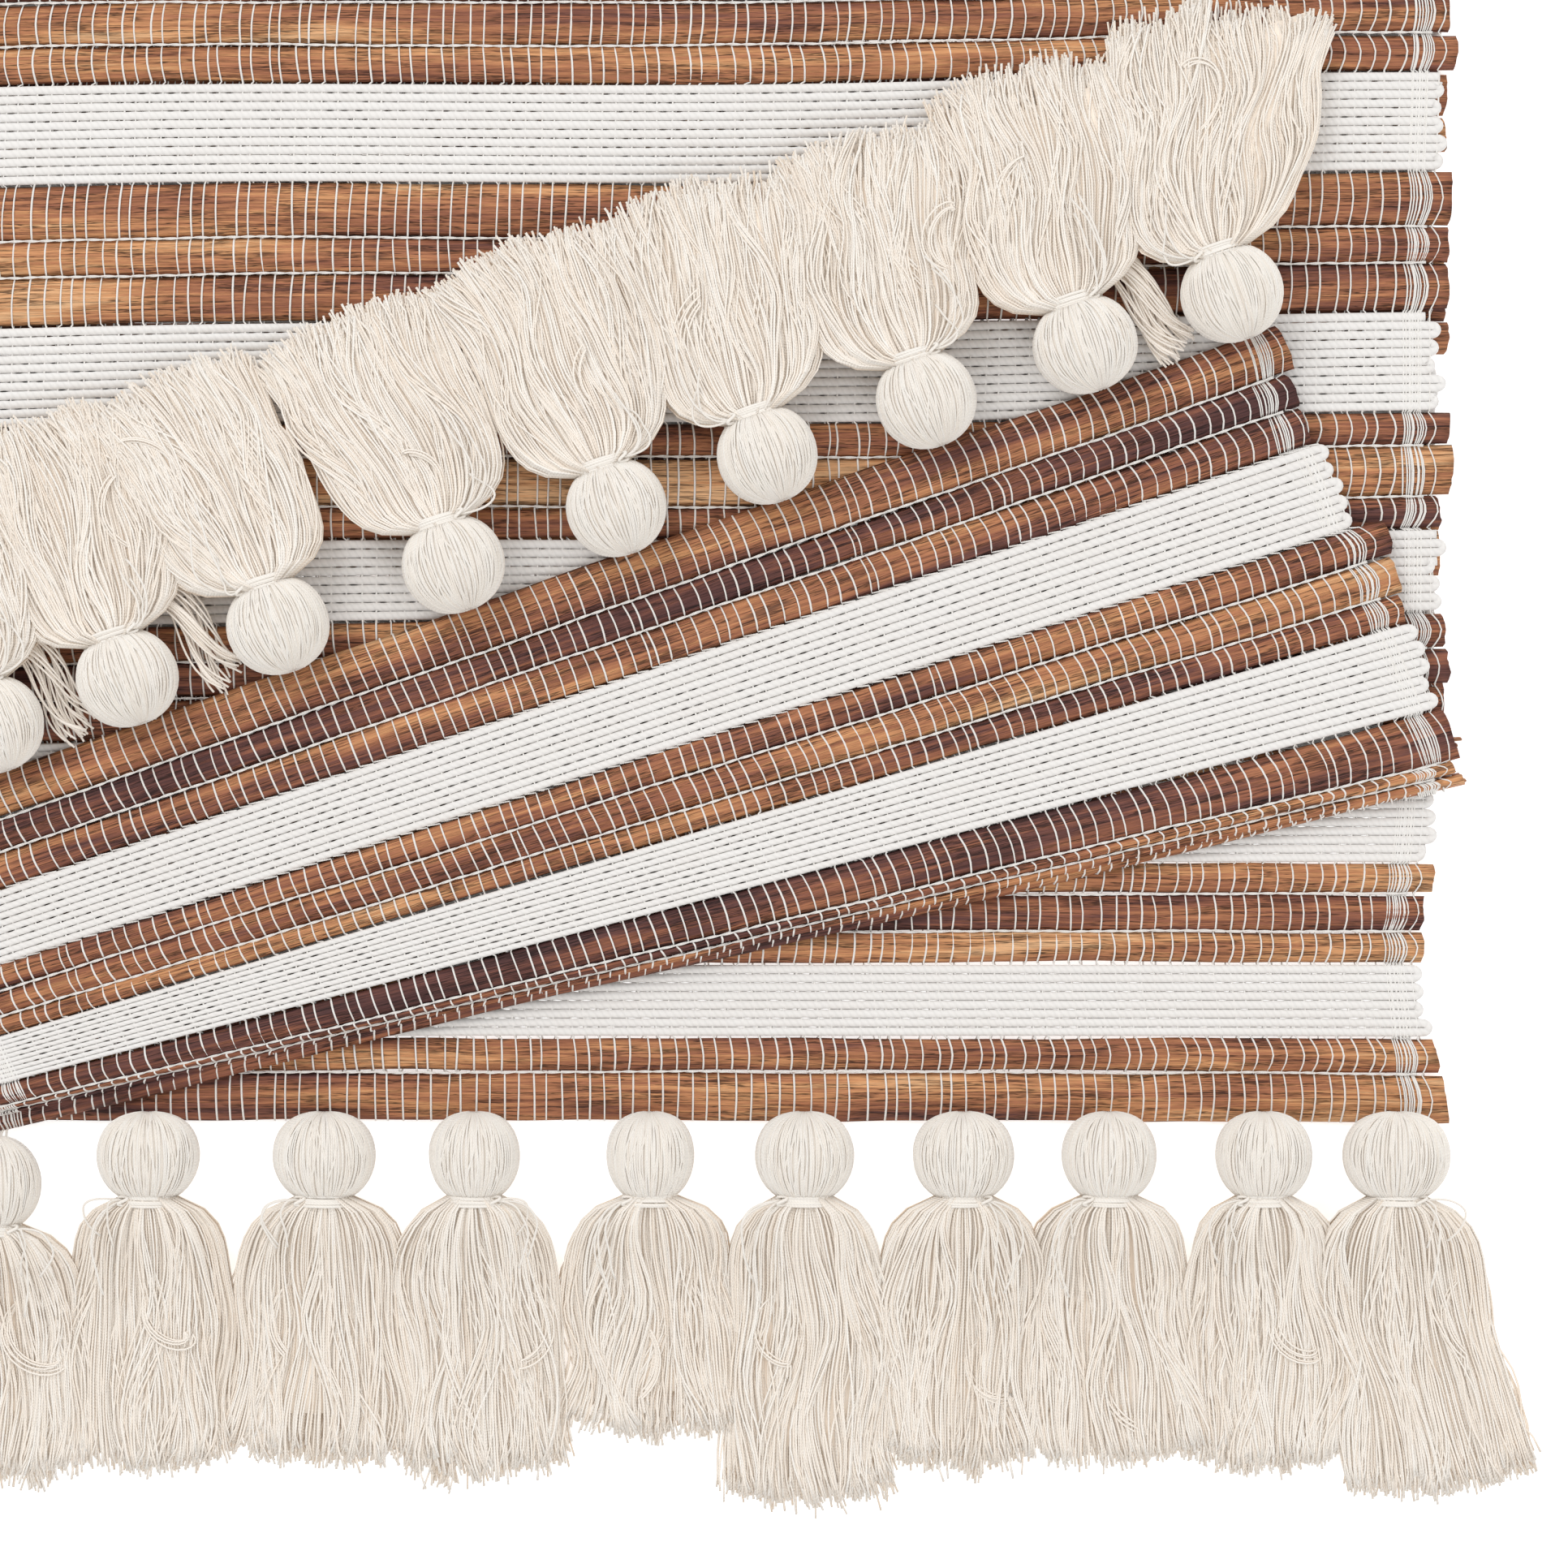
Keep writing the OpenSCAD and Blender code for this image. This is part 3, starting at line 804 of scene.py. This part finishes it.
def make_threads(run):
    """The threads on both faces of a run of cloth, and the twining in its grooves."""
    shares, spreads = bundle_shares()
    parts = ("left", "middle", "right")
    for face, under in (("top", False), ("under", True)):
        heaps = [Heap() for _ in parts]
        uneven = field + rng.normal(0, 0.0006, len(field))
        add_threads(heaps, run, uneven, 0, under, bundle=False)
        add_threads(heaps, run, shares, spreads, under, bundle=True)
        nodes = [] if under else [f"{run}_warp_threads"]
        for part, heap in zip(parts, heaps, strict=True):
            heap.make(f"{run}_warp_{face}_{part}", THREAD, BODIES[run], "warp_thread", nodes)
    yarn = Heap()
    add_twining(yarn, run)
    yarn.make(f"{run}_twined_yarn", THREAD, BODIES[run], "warp_thread", [f"{run}_twining"])


# ---- The two folds ----

# Each rope pass round the far fold: its y and its height.
FAR_CORDS = ((395.4, 0.9), (397.6, 1.25), (398.5, 3.1), (397.6, 4.95), (396.2, 5.2))


def make_far_fold():
    """Rope passes and threads round the far fold, where the lower run turns into the upper run."""
    body = ("lower_run", "upper_run", (0, FOLD_Y * MM, 1.2 * MM), (0, FOLD_Y * MM, 5.0 * MM))
    share = np.linspace(0, 1, 90)
    reach = HALF_W - ROPE_INSET
    cords = Heap()
    for y, z in FAR_CORDS:
        x = mix(-reach, reach, share) + rng.uniform(-1, 1)
        line = xyz(x, y + wander(share, 0.1, 6)[0], z + wander(share, 0.06, 6)[0])
        add_tubes(cords, line[None], 1.0, 1.0, 8, 0.8, square=0.8)
    piece = cords.make("far_fold_rope", ROPE, body, "cotton_rope")
    # The threads go from under the lower run round the rope to the upper run's top.
    threads = Heap()
    bend = np.linspace(-math.pi / 2, math.pi / 2, 9)
    loop_y = np.concatenate([[392.0], 396.4 + 3.3 * np.cos(bend), [392.0]])
    loop_z = np.concatenate([[-0.15], 3.05 + 3.2 * np.sin(bend), [6.0]])
    shares = np.concatenate([field, bundle_shares()[0]])
    x = (shares - 0.5) * WIDTH
    line = xyz(x[:, None], loop_y, loop_z)
    line = line + rng.normal(0, 0.08, line.shape) * (1, 0, 0)
    add_tubes(threads, line, THREAD_R, THREAD_R, 4, 0.75, ref=(1, 0, 0))
    threads.make("far_fold_warp", THREAD, body, "warp_thread")


# A thread round the slanting fold: how far out from the fold it lies at each height.
FOLD_WAY = ((-1.6, 6.3), (-0.2, 5.55), (0.55, 4.7), (0.35, 3.7), (-1.0, 3.0), (-3.0, 2.95))


def make_flap_fold():
    """Threads that turn round the slanting fold, from under the upper run up onto the flap."""
    fold_row = flap[0]
    shares = np.concatenate([field, bundle_shares()[0]])
    edge = fold_row.at(shares, np.zeros(len(shares)))
    out = unit(fold_row.ends[0] - fold_row.ends[1])
    rings = [np.column_stack([edge + out * way, np.full(len(shares), z)]) for way, z in FOLD_WAY]
    line = np.stack(rings, axis=1)
    threads = Heap()
    add_tubes(threads, line, THREAD_R, THREAD_R, 4, 0.75, ref=(1, 0, 0))
    foot = edge.mean(0) * MM
    start, end = (foot[0], foot[1], 3.4 * MM), (foot[0], foot[1], 6.0 * MM)
    threads.make("flap_fold_warp", THREAD, ("upper_run", "flap", start, end), "warp_thread")


# ---- Tassels ----

YARN_R = 0.26
# Half the length and half the height of a head, and the height of its middle.
HEAD_L = 10.9
HEAD_H = 10.4
HEAD_Z = HEAD_H + 0.3
# The core's size as a share of the head's.
HEAD_CORE = 0.985
CORE_RINGS, CORE_SIDES = 15, 32
HEAD_YARNS = 150
LOOSE_HEAD_YARNS = 30
NECK_R = 5.9
BINDING_TURNS = 6
# The strands of a skirt: the first ones cover it evenly, the others lie in locks.
STRANDS = 740
COVER = 370
LOCKS = 24
STRAY_SHARE = 0.05
STRAND_POINTS = 18
FILLER_RINGS, FILLER_SIDES = 12, 28
# How far each head lies from its hem. The first near one leaves room for the slanting fold.
HEAD_OFFS = {"near": 7.3, "flap": 10.0}
FIRST_NEAR_HEAD_OFF = 14.0


class Tassel:
    """Where a tassel hangs, which way it points, and how it is shaped."""

    def __init__(self, name, half_w, length, lean, head_w, knot_side, loose):
        joint = next(j for j in frame["joints"] if j["child"] == name)
        axis = np.array(joint["axis"], float)
        self.name = name
        self.tail = np.cross([0, 0, 1], axis)
        self.side = np.cross(self.tail, [0, 0, 1])
        self.hem = np.array(joint["pos_m"], float) / MM
        self.hem[2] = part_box(name)[0].z / MM
        self.near = name.startswith("near")
        self.head_off = HEAD_OFFS["near" if self.near else "flap"]
        if name == "near_tassel_1":
            self.head_off = FIRST_NEAR_HEAD_OFF
        self.half_w, self.length, self.lean, self.head_w = half_w, length, lean, head_w
        self.knot_side, self.loose = knot_side, loose
        self.neck_y = self.head_off + HEAD_L * 0.86

    def place(self, local):
        """Local points, across, along the tail and up, put into the frame."""
        x, y, z = local[..., :1], local[..., 1:2], local[..., 2:]
        if self.near:
            # What would lie far over the hem slat is squeezed together, most of all low down.
            soft = 4.5 + 14.0 * np.clip((z - 6.0) / 5.0, 0, 1)
            squeezed = 2.5 - soft * (1 - np.exp(np.minimum(y - 2.5, 0) / soft))
            y = np.where(y < 2.5, squeezed, y)
        return self.hem + x * self.side + y * self.tail + z * np.array([0, 0, 1.0])


def ridges(around, along, lines):
    """Weft coordinates that draw fine lines along a smooth surface."""
    return xyz(along * 0.02, around * lines, 0.0).reshape(-1, 3)


def head_radius(lat):
    """A head's radius as a share of its widest, at an angle from its hem end. The neck is open."""
    r = np.sin(lat) ** 0.9
    return np.where(lat > math.pi / 2, np.maximum(r, 0.50), r)


def head_surface(t, lat, angle, grow, size=1.0):
    """Points on a head at angles from its hem end and round it, grow beyond its own size."""
    r = head_radius(lat)
    x = r * np.cos(angle) * (t.head_w + grow) * size
    y = t.head_off - np.cos(lat) * (HEAD_L + grow) * size
    z = r * np.sin(angle) * (HEAD_H + grow) * size + HEAD_Z
    return t.place(xyz(x, y, z))


def add_head(heap, t):
    """A smooth core, close yarns over it from end to end, and a few that lie loosely on them."""
    lat = np.linspace(0.05, 2.62, CORE_RINGS)[:, None]
    around = np.linspace(0, 2 * math.pi, CORE_SIDES + 1)[:-1]
    core = head_surface(t, lat, around, 0.0, HEAD_CORE).reshape(-1, 3)
    weft = ridges(around / (2 * math.pi), lat * 10, 60)
    heap.add(core, strip_faces(1, CORE_RINGS, CORE_SIDES), weft, 0.62)
    lat = np.linspace(0.10, 2.60, 17)
    for yarns, spread, grow in ((HEAD_YARNS, 0.03, 0.02), (LOOSE_HEAD_YARNS, 0.16, 0.16)):
        turn = (np.arange(yarns) + rng.uniform(-0.3, 0.3, yarns)) * 2 * math.pi / yarns
        angle = turn[:, None] + wander(lat / 2.6, spread, 1.2, yarns)
        normal = xyz(np.cos(angle), 0.0, np.sin(angle))
        ref = normal @ np.stack([t.side, t.tail, [0, 0, 1.0]])
        tone = 0.85 + rng.uniform(-0.22, 0.15, yarns)
        add_tubes(heap, head_surface(t, lat, angle, grow), YARN_R, YARN_R, 4, tone, ref)


def skirt_form(t, s):
    """Half width, top and bottom of the skirt at the share s of its length."""
    fan = 0.14 + max(0.0, t.half_w - 20) * 0.03
    spread = (1 - fan) * (1 - np.exp(-s / 0.075)) + fan * s
    half = NECK_R + (t.half_w - NECK_R) * spread
    ruff = 1.5 * np.exp(-(((s - 0.11) / 0.09) ** 2))
    top = (HEAD_Z + NECK_R - 0.4) * np.exp(-s / 0.55) + ruff + 3.4 * s
    low = 0.6 + (HEAD_Z - NECK_R - 0.4) * np.exp(-s / 0.06)
    return half, np.maximum(top, low + 1.5), low


def flow(u, s, size):
    """Sideways waves that neighbouring strands share."""
    out = 0
    for _ in range(4):
        across, along = rng.uniform(-1.5, 1.5), rng.uniform(0.4, 1.6)
        out = out + np.sin(2 * math.pi * (across * u + along * s) + rng.uniform(0, 2 * math.pi))
    return out * size / 3


def strand_paths(t):
    """Strands of the skirt in the tassel's own frame, and how high each point lies in it.

    An even cover lies above and below, and locks wind between.
    """
    s = np.linspace(0, 1, STRAND_POINTS)
    cover = (np.arange(STRANDS) < COVER)[:, None]
    # u is a strand's place across the skirt and v its height in it, both from -1 to 1.
    lock = rng.integers(0, LOCKS, STRANDS)
    place = (np.arange(LOCKS) * 0.618 + rng.uniform(-0.1, 0.1, LOCKS)) % 1 * 2 - 1
    depth = 1 - rng.uniform(0, 1, LOCKS) ** 2 * 1.6
    even = np.linspace(-1, 1, COVER) + rng.normal(0, 0.01, COVER)
    u0 = place[lock] * 0.92
    u0[:COVER] = even
    v0 = depth[lock]
    under = np.arange(COVER) % 3 == 0
    v0[:COVER] = np.where(under, rng.uniform(-1.0, -0.75, COVER), rng.uniform(0.45, 1.0, COVER))
    # Each strand winds round the middle of its lock.
    spin = rng.uniform(-0.8, 0.8, LOCKS)[lock, None] * 2 * math.pi
    phase = rng.uniform(0, 2 * math.pi, STRANDS)[:, None]
    arm = np.sqrt(rng.uniform(0.05, 1, STRANDS))[:, None] * (0.04 + 0.09 * np.minimum(s * 3, 1))
    arm = np.where(cover, 0.015, arm)
    u = np.clip(u0[:, None] + arm * np.cos(phase + spin * s), -1.05, 1.05)
    rim = np.sqrt(np.clip(1 - u**2 * 0.9, 0.02, 1))
    v = np.clip(v0[:, None] * rim + 2.0 * arm * np.sin(phase + spin * s), -rim, rim * 1.06)
    half, top, low = skirt_form(t, s)
    length = t.length + rng.normal(0, 0.9, STRANDS) + rng.normal(0, 1.5, LOCKS)[lock]
    slope = t.half_w * u0 / t.length + t.lean
    y = t.neck_y + (length * 1.03 / np.sqrt(1 + slope**2))[:, None] * s
    z = (top + low) / 2 + (top - low) / 2 * v
    grow = np.minimum(s * 2.2, 1)
    x = half * u + flow(u, s, 2.0) * grow
    x = x + wander(s, 3.8, 1.3, LOCKS)[lock] * grow * ~cover + wander(s, 0.16, 4, STRANDS) * grow
    x = x + wander(s, 1.6, 0.8)[0] * grow
    stray = rng.uniform(0, 1, (STRANDS, 1)) < STRAY_SHARE
    x = x + wander(s, 2.4, 1.6, STRANDS) * stray * grow
    z = z + wander(s, 0.2, 3, STRANDS) * grow + stray * np.abs(wander(s, 0.9, 2, STRANDS)) * grow
    x = x + t.lean * (y - t.neck_y) * np.minimum(1, 0.35 + s)
    x[:, -1] += rng.normal(0, 0.5, STRANDS)
    return xyz(x, y, np.maximum(z, 0.35)), (v / rim + 1) / 2


CURL_STRANDS = 5


def curl_paths(t):
    """Strands on top that turn back on themselves side by side."""
    s = np.linspace(0, 1, 26)
    draw = rng.uniform(0, 1, 6)
    start = 0.12 + 0.5 * draw[0]
    u = draw[1] * 1.5 - 0.75 + rng.normal(0, 0.02, (CURL_STRANDS, 1))
    size = 3.0 + 3.0 * draw[2] + rng.normal(0, 0.5, (CURL_STRANDS, 1))
    turns = (0.45 + 0.4 * draw[3]) * 2 * math.pi * (-1 if draw[4] < 0.5 else 1)
    bent = turns * np.clip((s - 0.2) / 0.6, 0, 1)
    half, top, low = skirt_form(t, np.clip(start + 0.15 * s, 0, 1))
    x = half * u + size * np.sin(bent) + (draw[5] * 6 - 3) * s
    y = t.neck_y + t.length * start + 18 * (s - 0.3) + size * (1 - np.cos(bent)) * 0.8
    rim = np.sqrt(np.clip(1 - (x / half) ** 2 * 0.9, 0.02, 1))
    z = (top + low) / 2 + (top - low) / 2 * rim + rng.uniform(-0.7, 0.1, (CURL_STRANDS, 1))
    x = x + t.lean * (y - t.neck_y)
    return xyz(x, y, z)


# A loose lock's middle line from the neck: out to one side, along the tassel, and up.
LOOSE_LOCK = (
    (4.5, 2.0, 6.5), (8.0, 7.5, 6.0), (12.5, 9.2, 5.8), (17.0, 6.5, 6.0), (19.5, 0.0, 6.5),
    (20.2, -6.5, 5.8), (21.5, -12.5, 4.8), (25.0, -17.0, 4.0),
)


def loose_lock_paths(t):
    """A lock that leaves the neck at one side and bends back beside the head."""
    reach, count = t.loose
    line = np.array(LOOSE_LOCK) * (reach, 1, 1) + (0, t.neck_y, 0)
    s = np.linspace(0, 1, 24)
    way = np.linspace(0, 1, len(line))
    middle = np.stack([np.interp(s, way, line[:, k]) for k in range(3)], axis=1)
    for _ in range(4):
        middle[1:-1] = (middle[:-2] + 2 * middle[1:-1] + middle[2:]) / 4
    along = unit(np.gradient(middle, axis=0))
    across = unit(np.cross(along, (0, 0, 1.0)))
    phase = rng.uniform(0, 2 * math.pi, (count, 1))
    arm = np.sqrt(rng.uniform(0.02, 1, (count, 1)))
    wide = arm * (2.4 + 3.4 * s**3 + 1.4 * np.sin(s * math.pi)) * np.cos(phase + 3.2 * s)
    tall = arm * 2.6 * np.sin(phase + 3.2 * s)
    paths = middle + wide[..., None] * across
    paths = paths + along * (rng.uniform(-3.0, 1.5, (count, 1)) * s)[..., None]
    paths[..., 0] += wander(s, 0.5, 2.2, count) * s + flow(arm, s, 0.8) * s
    paths[..., 2] = np.maximum(paths[..., 2] + tall, 0.8)
    return paths


def add_skirt(heap, t):
    """Lighter on top and darker towards its underside, strand by strand: the darker, warmer
    underside is painted shade.
    """
    local, level = strand_paths(t)
    s = np.linspace(0, 1, STRAND_POINTS)
    radius = YARN_R * np.where(s > 0.97, 1.15, 1.0) * rng.uniform(0.85, 1.15, (STRANDS, 1))
    # Painted shade: the lower a strand lies in the skirt, the darker and warmer its tone, with a
    # random change on top.
    tone = 0.30 + 0.50 * level + rng.uniform(-0.22, 0.18, (STRANDS, 1))
    add_tubes(heap, t.place(local), radius, radius, 3, tone)
    add_tubes(heap, t.place(curl_paths(t)), YARN_R, YARN_R, 3, 0.75)
    if t.loose:
        add_tubes(heap, t.place(loose_lock_paths(t)), YARN_R, YARN_R, 4, 0.8)


def add_filler(heap, t):
    """A soft body under the strands, so that no light shows through the skirt."""
    s = np.linspace(0, 0.86, FILLER_RINGS)[:, None]
    around = np.linspace(0, 2 * math.pi, FILLER_SIDES + 1)[:-1]
    half, top, low = skirt_form(t, s)
    y = t.neck_y + t.length * s
    x = half * 0.84 * np.cos(around) + t.lean * (y - t.neck_y) * np.minimum(1, 0.35 + s)
    z = (top + low) / 2 + (top - low) / 2 * 0.70 * np.sin(around)
    points = t.place(xyz(x, y, z)).reshape(-1, 3)
    weft = ridges(around / (2 * math.pi), s * 60, 70)
    # Its mid tone is painted shade, the tone of the skirt's strands half way down.
    heap.add(points, strip_faces(1, FILLER_RINGS, FILLER_SIDES), weft, 0.5)


def add_binding(heap, t):
    """Turns of yarn round the neck, a knot at one side and its loose ends."""
    s = np.linspace(0, 1, 40 * BINDING_TURNS)
    angle = 2 * math.pi * BINDING_TURNS * s
    y = t.neck_y - 0.6 + 3.0 * s + wander(s, 0.22, 6)[0]
    r = NECK_R + 0.25 + wander(s, 0.12, 4)[0]
    z = r * 0.97 * np.sin(angle) + HEAD_Z
    add_tubes(heap, t.place(xyz(r * np.cos(angle), y, z))[None], 0.36, 0.42, 5, 0.85, t.tail)
    side = t.knot_side
    knot = np.array([side * 5.2, t.neck_y + 0.9, HEAD_H + 4.6])
    a = np.linspace(0, 2 * math.pi, 40)
    lump = knot + xyz(1.1 * np.sin(2 * a), 1.0 * np.cos(a), 0.9 * np.sin(a))
    add_tubes(heap, t.place(lump)[None], 0.40, 0.40, 5, 0.85, (0.3, 0.2, 1.0))
    s = np.linspace(0, 1, 22)
    for _ in range(3):
        out = side * rng.uniform(2, 10)
        down = rng.uniform(8, 24)
        x = knot[0] + out * np.sin(s * 2.4) + wander(s, 0.9, 2)[0] * s
        y = knot[1] + down * s**1.2 - 3.0 * np.sin(s * math.pi)
        z = np.maximum(knot[2] + 1.8 * np.sin(s * 3) - 2.0 * s, 7.0)
        add_tubes(heap, t.place(xyz(x, y, z))[None], 0.27, 0.27, 4, 0.85)


def add_hanger(heap, t):
    """The stitches that hold the head to the hem slat."""
    s = np.linspace(0, 1, 12)
    root = t.head_off - HEAD_L * 0.75
    for k in range(5):
        x = (k - 2) * 0.9 + wander(s, 0.3, 1.5)[0]
        y = root - (root + 0.6) * s
        z = 6.5 * (1 - s) ** 0.7 + 1.2 * s
        add_tubes(heap, t.place(xyz(x, y, z))[None], 0.3, 0.3, 4, 0.75)


def make_tassel(t):
    """The skirt stands in for the tassel's CAD node, and the head comes with it."""
    for part, material, adds, nodes in (
        ("skirt", SKIRT, (add_filler, add_skirt), [t.name]),
        ("head", HEAD, (add_head, add_hanger, add_binding), []),
    ):
        heap = Heap()
        for add in adds:
            add(heap, t)
        heap.make(f"{t.name}_{part}", material, t.name, "tassel_yarn", nodes)


# Each tassel: half width of the skirt, its length below the neck, its lean, half width of the head.
NEAR_SHAPES = [
    (20, 58, -0.02, 10.6), (20.5, 61, 0.00, 11.6), (22.5, 60, 0.02, 11.6), (19.5, 63, -0.05, 10.3),
    (21.5, 54, -0.02, 9.9), (20, 69, -0.02, 11.2), (20.5, 61, 0.02, 11.5), (21, 60, -0.08, 10.7),
    (19, 61, -0.03, 10.9), (22, 67, -0.15, 12.2),
]
FLAP_SHAPES = [
    (21, 53, -0.02, 11.5), (22, 54, 0.00, 11.5), (22.5, 52.5, 0.00, 11.5), (23, 53, -0.18, 11.6),
    (23, 53, -0.10, 11.6), (22.5, 54, -0.04, 11.3), (23, 54, 0.13, 11.3), (23, 52, 0.18, 11.3),
    (23.5, 55, 0.20, 11.9), (28, 55, 0.38, 11.6),
]


def make_tassels(prefix, shapes, loose):
    """loose gives the reach and the strands of the loose lock of a tassel, by its number."""
    for i, shape in enumerate(shapes, 1):
        side = -1 if i % 3 == 1 else 1
        make_tassel(Tassel(f"{prefix}_tassel_{i}", *shape, side, loose.get(i)))


# ---- Everything ----

for n in range(1, 5):
    for run in ("lower", "upper"):
        make_slats(f"{run}_bark_{n}", run, f"{run}_slats_{n}")
        make_ropes(f"{run}_rope_{n}", run, f"{run}_cotton_{n}")
make_slats("near_hem_bark", "lower", "near_hem_slat")
make_slats("fanned_bark", "upper", "fanned_slats")
make_ropes("fanned_rope", "upper", "fanned_cotton")
make_slats("flap_hem_bark", "flap", "flap_hem_slat")
make_slats("flap_outer_bark", "flap", "flap_outer_slats")
make_slats("flap_inner_bark", "flap", "flap_inner_slats")
make_slats("fold_bark", "flap", "fold_slats")
make_ropes("flap_rope_1", "flap", "flap_cotton_1")
make_ropes("flap_rope_2", "flap", "flap_cotton_2")
for run in RUNS:
    make_threads(run)

make_far_fold()
make_flap_fold()
make_tassels("near", NEAR_SHAPES, {})
make_tassels("flap", FLAP_SHAPES, {2: (0.78, 30), 3: (0.90, 30), 9: (0.86, 60)})

# ---- Floor, light and look ----

# Half the floor's size, and how far it lies below zero so that no piece cuts it, in m.
FLOOR_HALF = 20.0
FLOOR_DROP = 0.0009


def make_stage():
    """A pale floor that is much bigger than any view of the runner."""
    mesh = bpy.data.meshes.new("floor")
    corners = [(x * FLOOR_HALF, y * FLOOR_HALF, 0) for x, y in ((-1, -1), (1, -1), (1, 1), (-1, 1))]
    mesh.from_pydata(corners, [], [(0, 1, 2, 3)])
    floor = new_object("floor", mesh)
    floor.location = (0, 0, -FLOOR_DROP)
    m = Nodes("floor")
    m.set(Base_Color=(0.95, 0.95, 0.95, 1), Roughness=0.9)
    m.set(Emission_Color=(1, 1, 1, 1), Emission_Strength=0.50)
    mesh.materials.append(m.material)


def make_lights():
    """A bright even sky, a key lamp from the far left and a weaker fill from the near right."""
    world = bpy.data.worlds.new("studio")
    bpy.context.scene.world = world
    world.use_nodes = True
    sky = world.node_tree.nodes["Background"]
    sky.inputs["Color"].default_value = (1.0, 0.995, 0.985, 1)
    sky.inputs["Strength"].default_value = 0.88
    for name, place, size, power in (
        ("key", (-0.9, 0.9, 1.6), 1.2, 13.0),
        ("fill", (1.3, -0.6, 1.5), 1.8, 5.5),
    ):
        data = bpy.data.lights.new(name, "AREA")
        data.shape = "DISK"
        data.size = size
        data.energy = power
        lamp = new_object(name, data)
        lamp.location = place
        aim = Vector((0.02, -0.3, 0.0)) - Vector(place)
        lamp.rotation_mode = "QUATERNION"
        lamp.rotation_quaternion = aim.to_track_quat("-Z", "Y")


make_stage()
make_lights()
bpy.context.scene.view_settings.view_transform = "Standard"
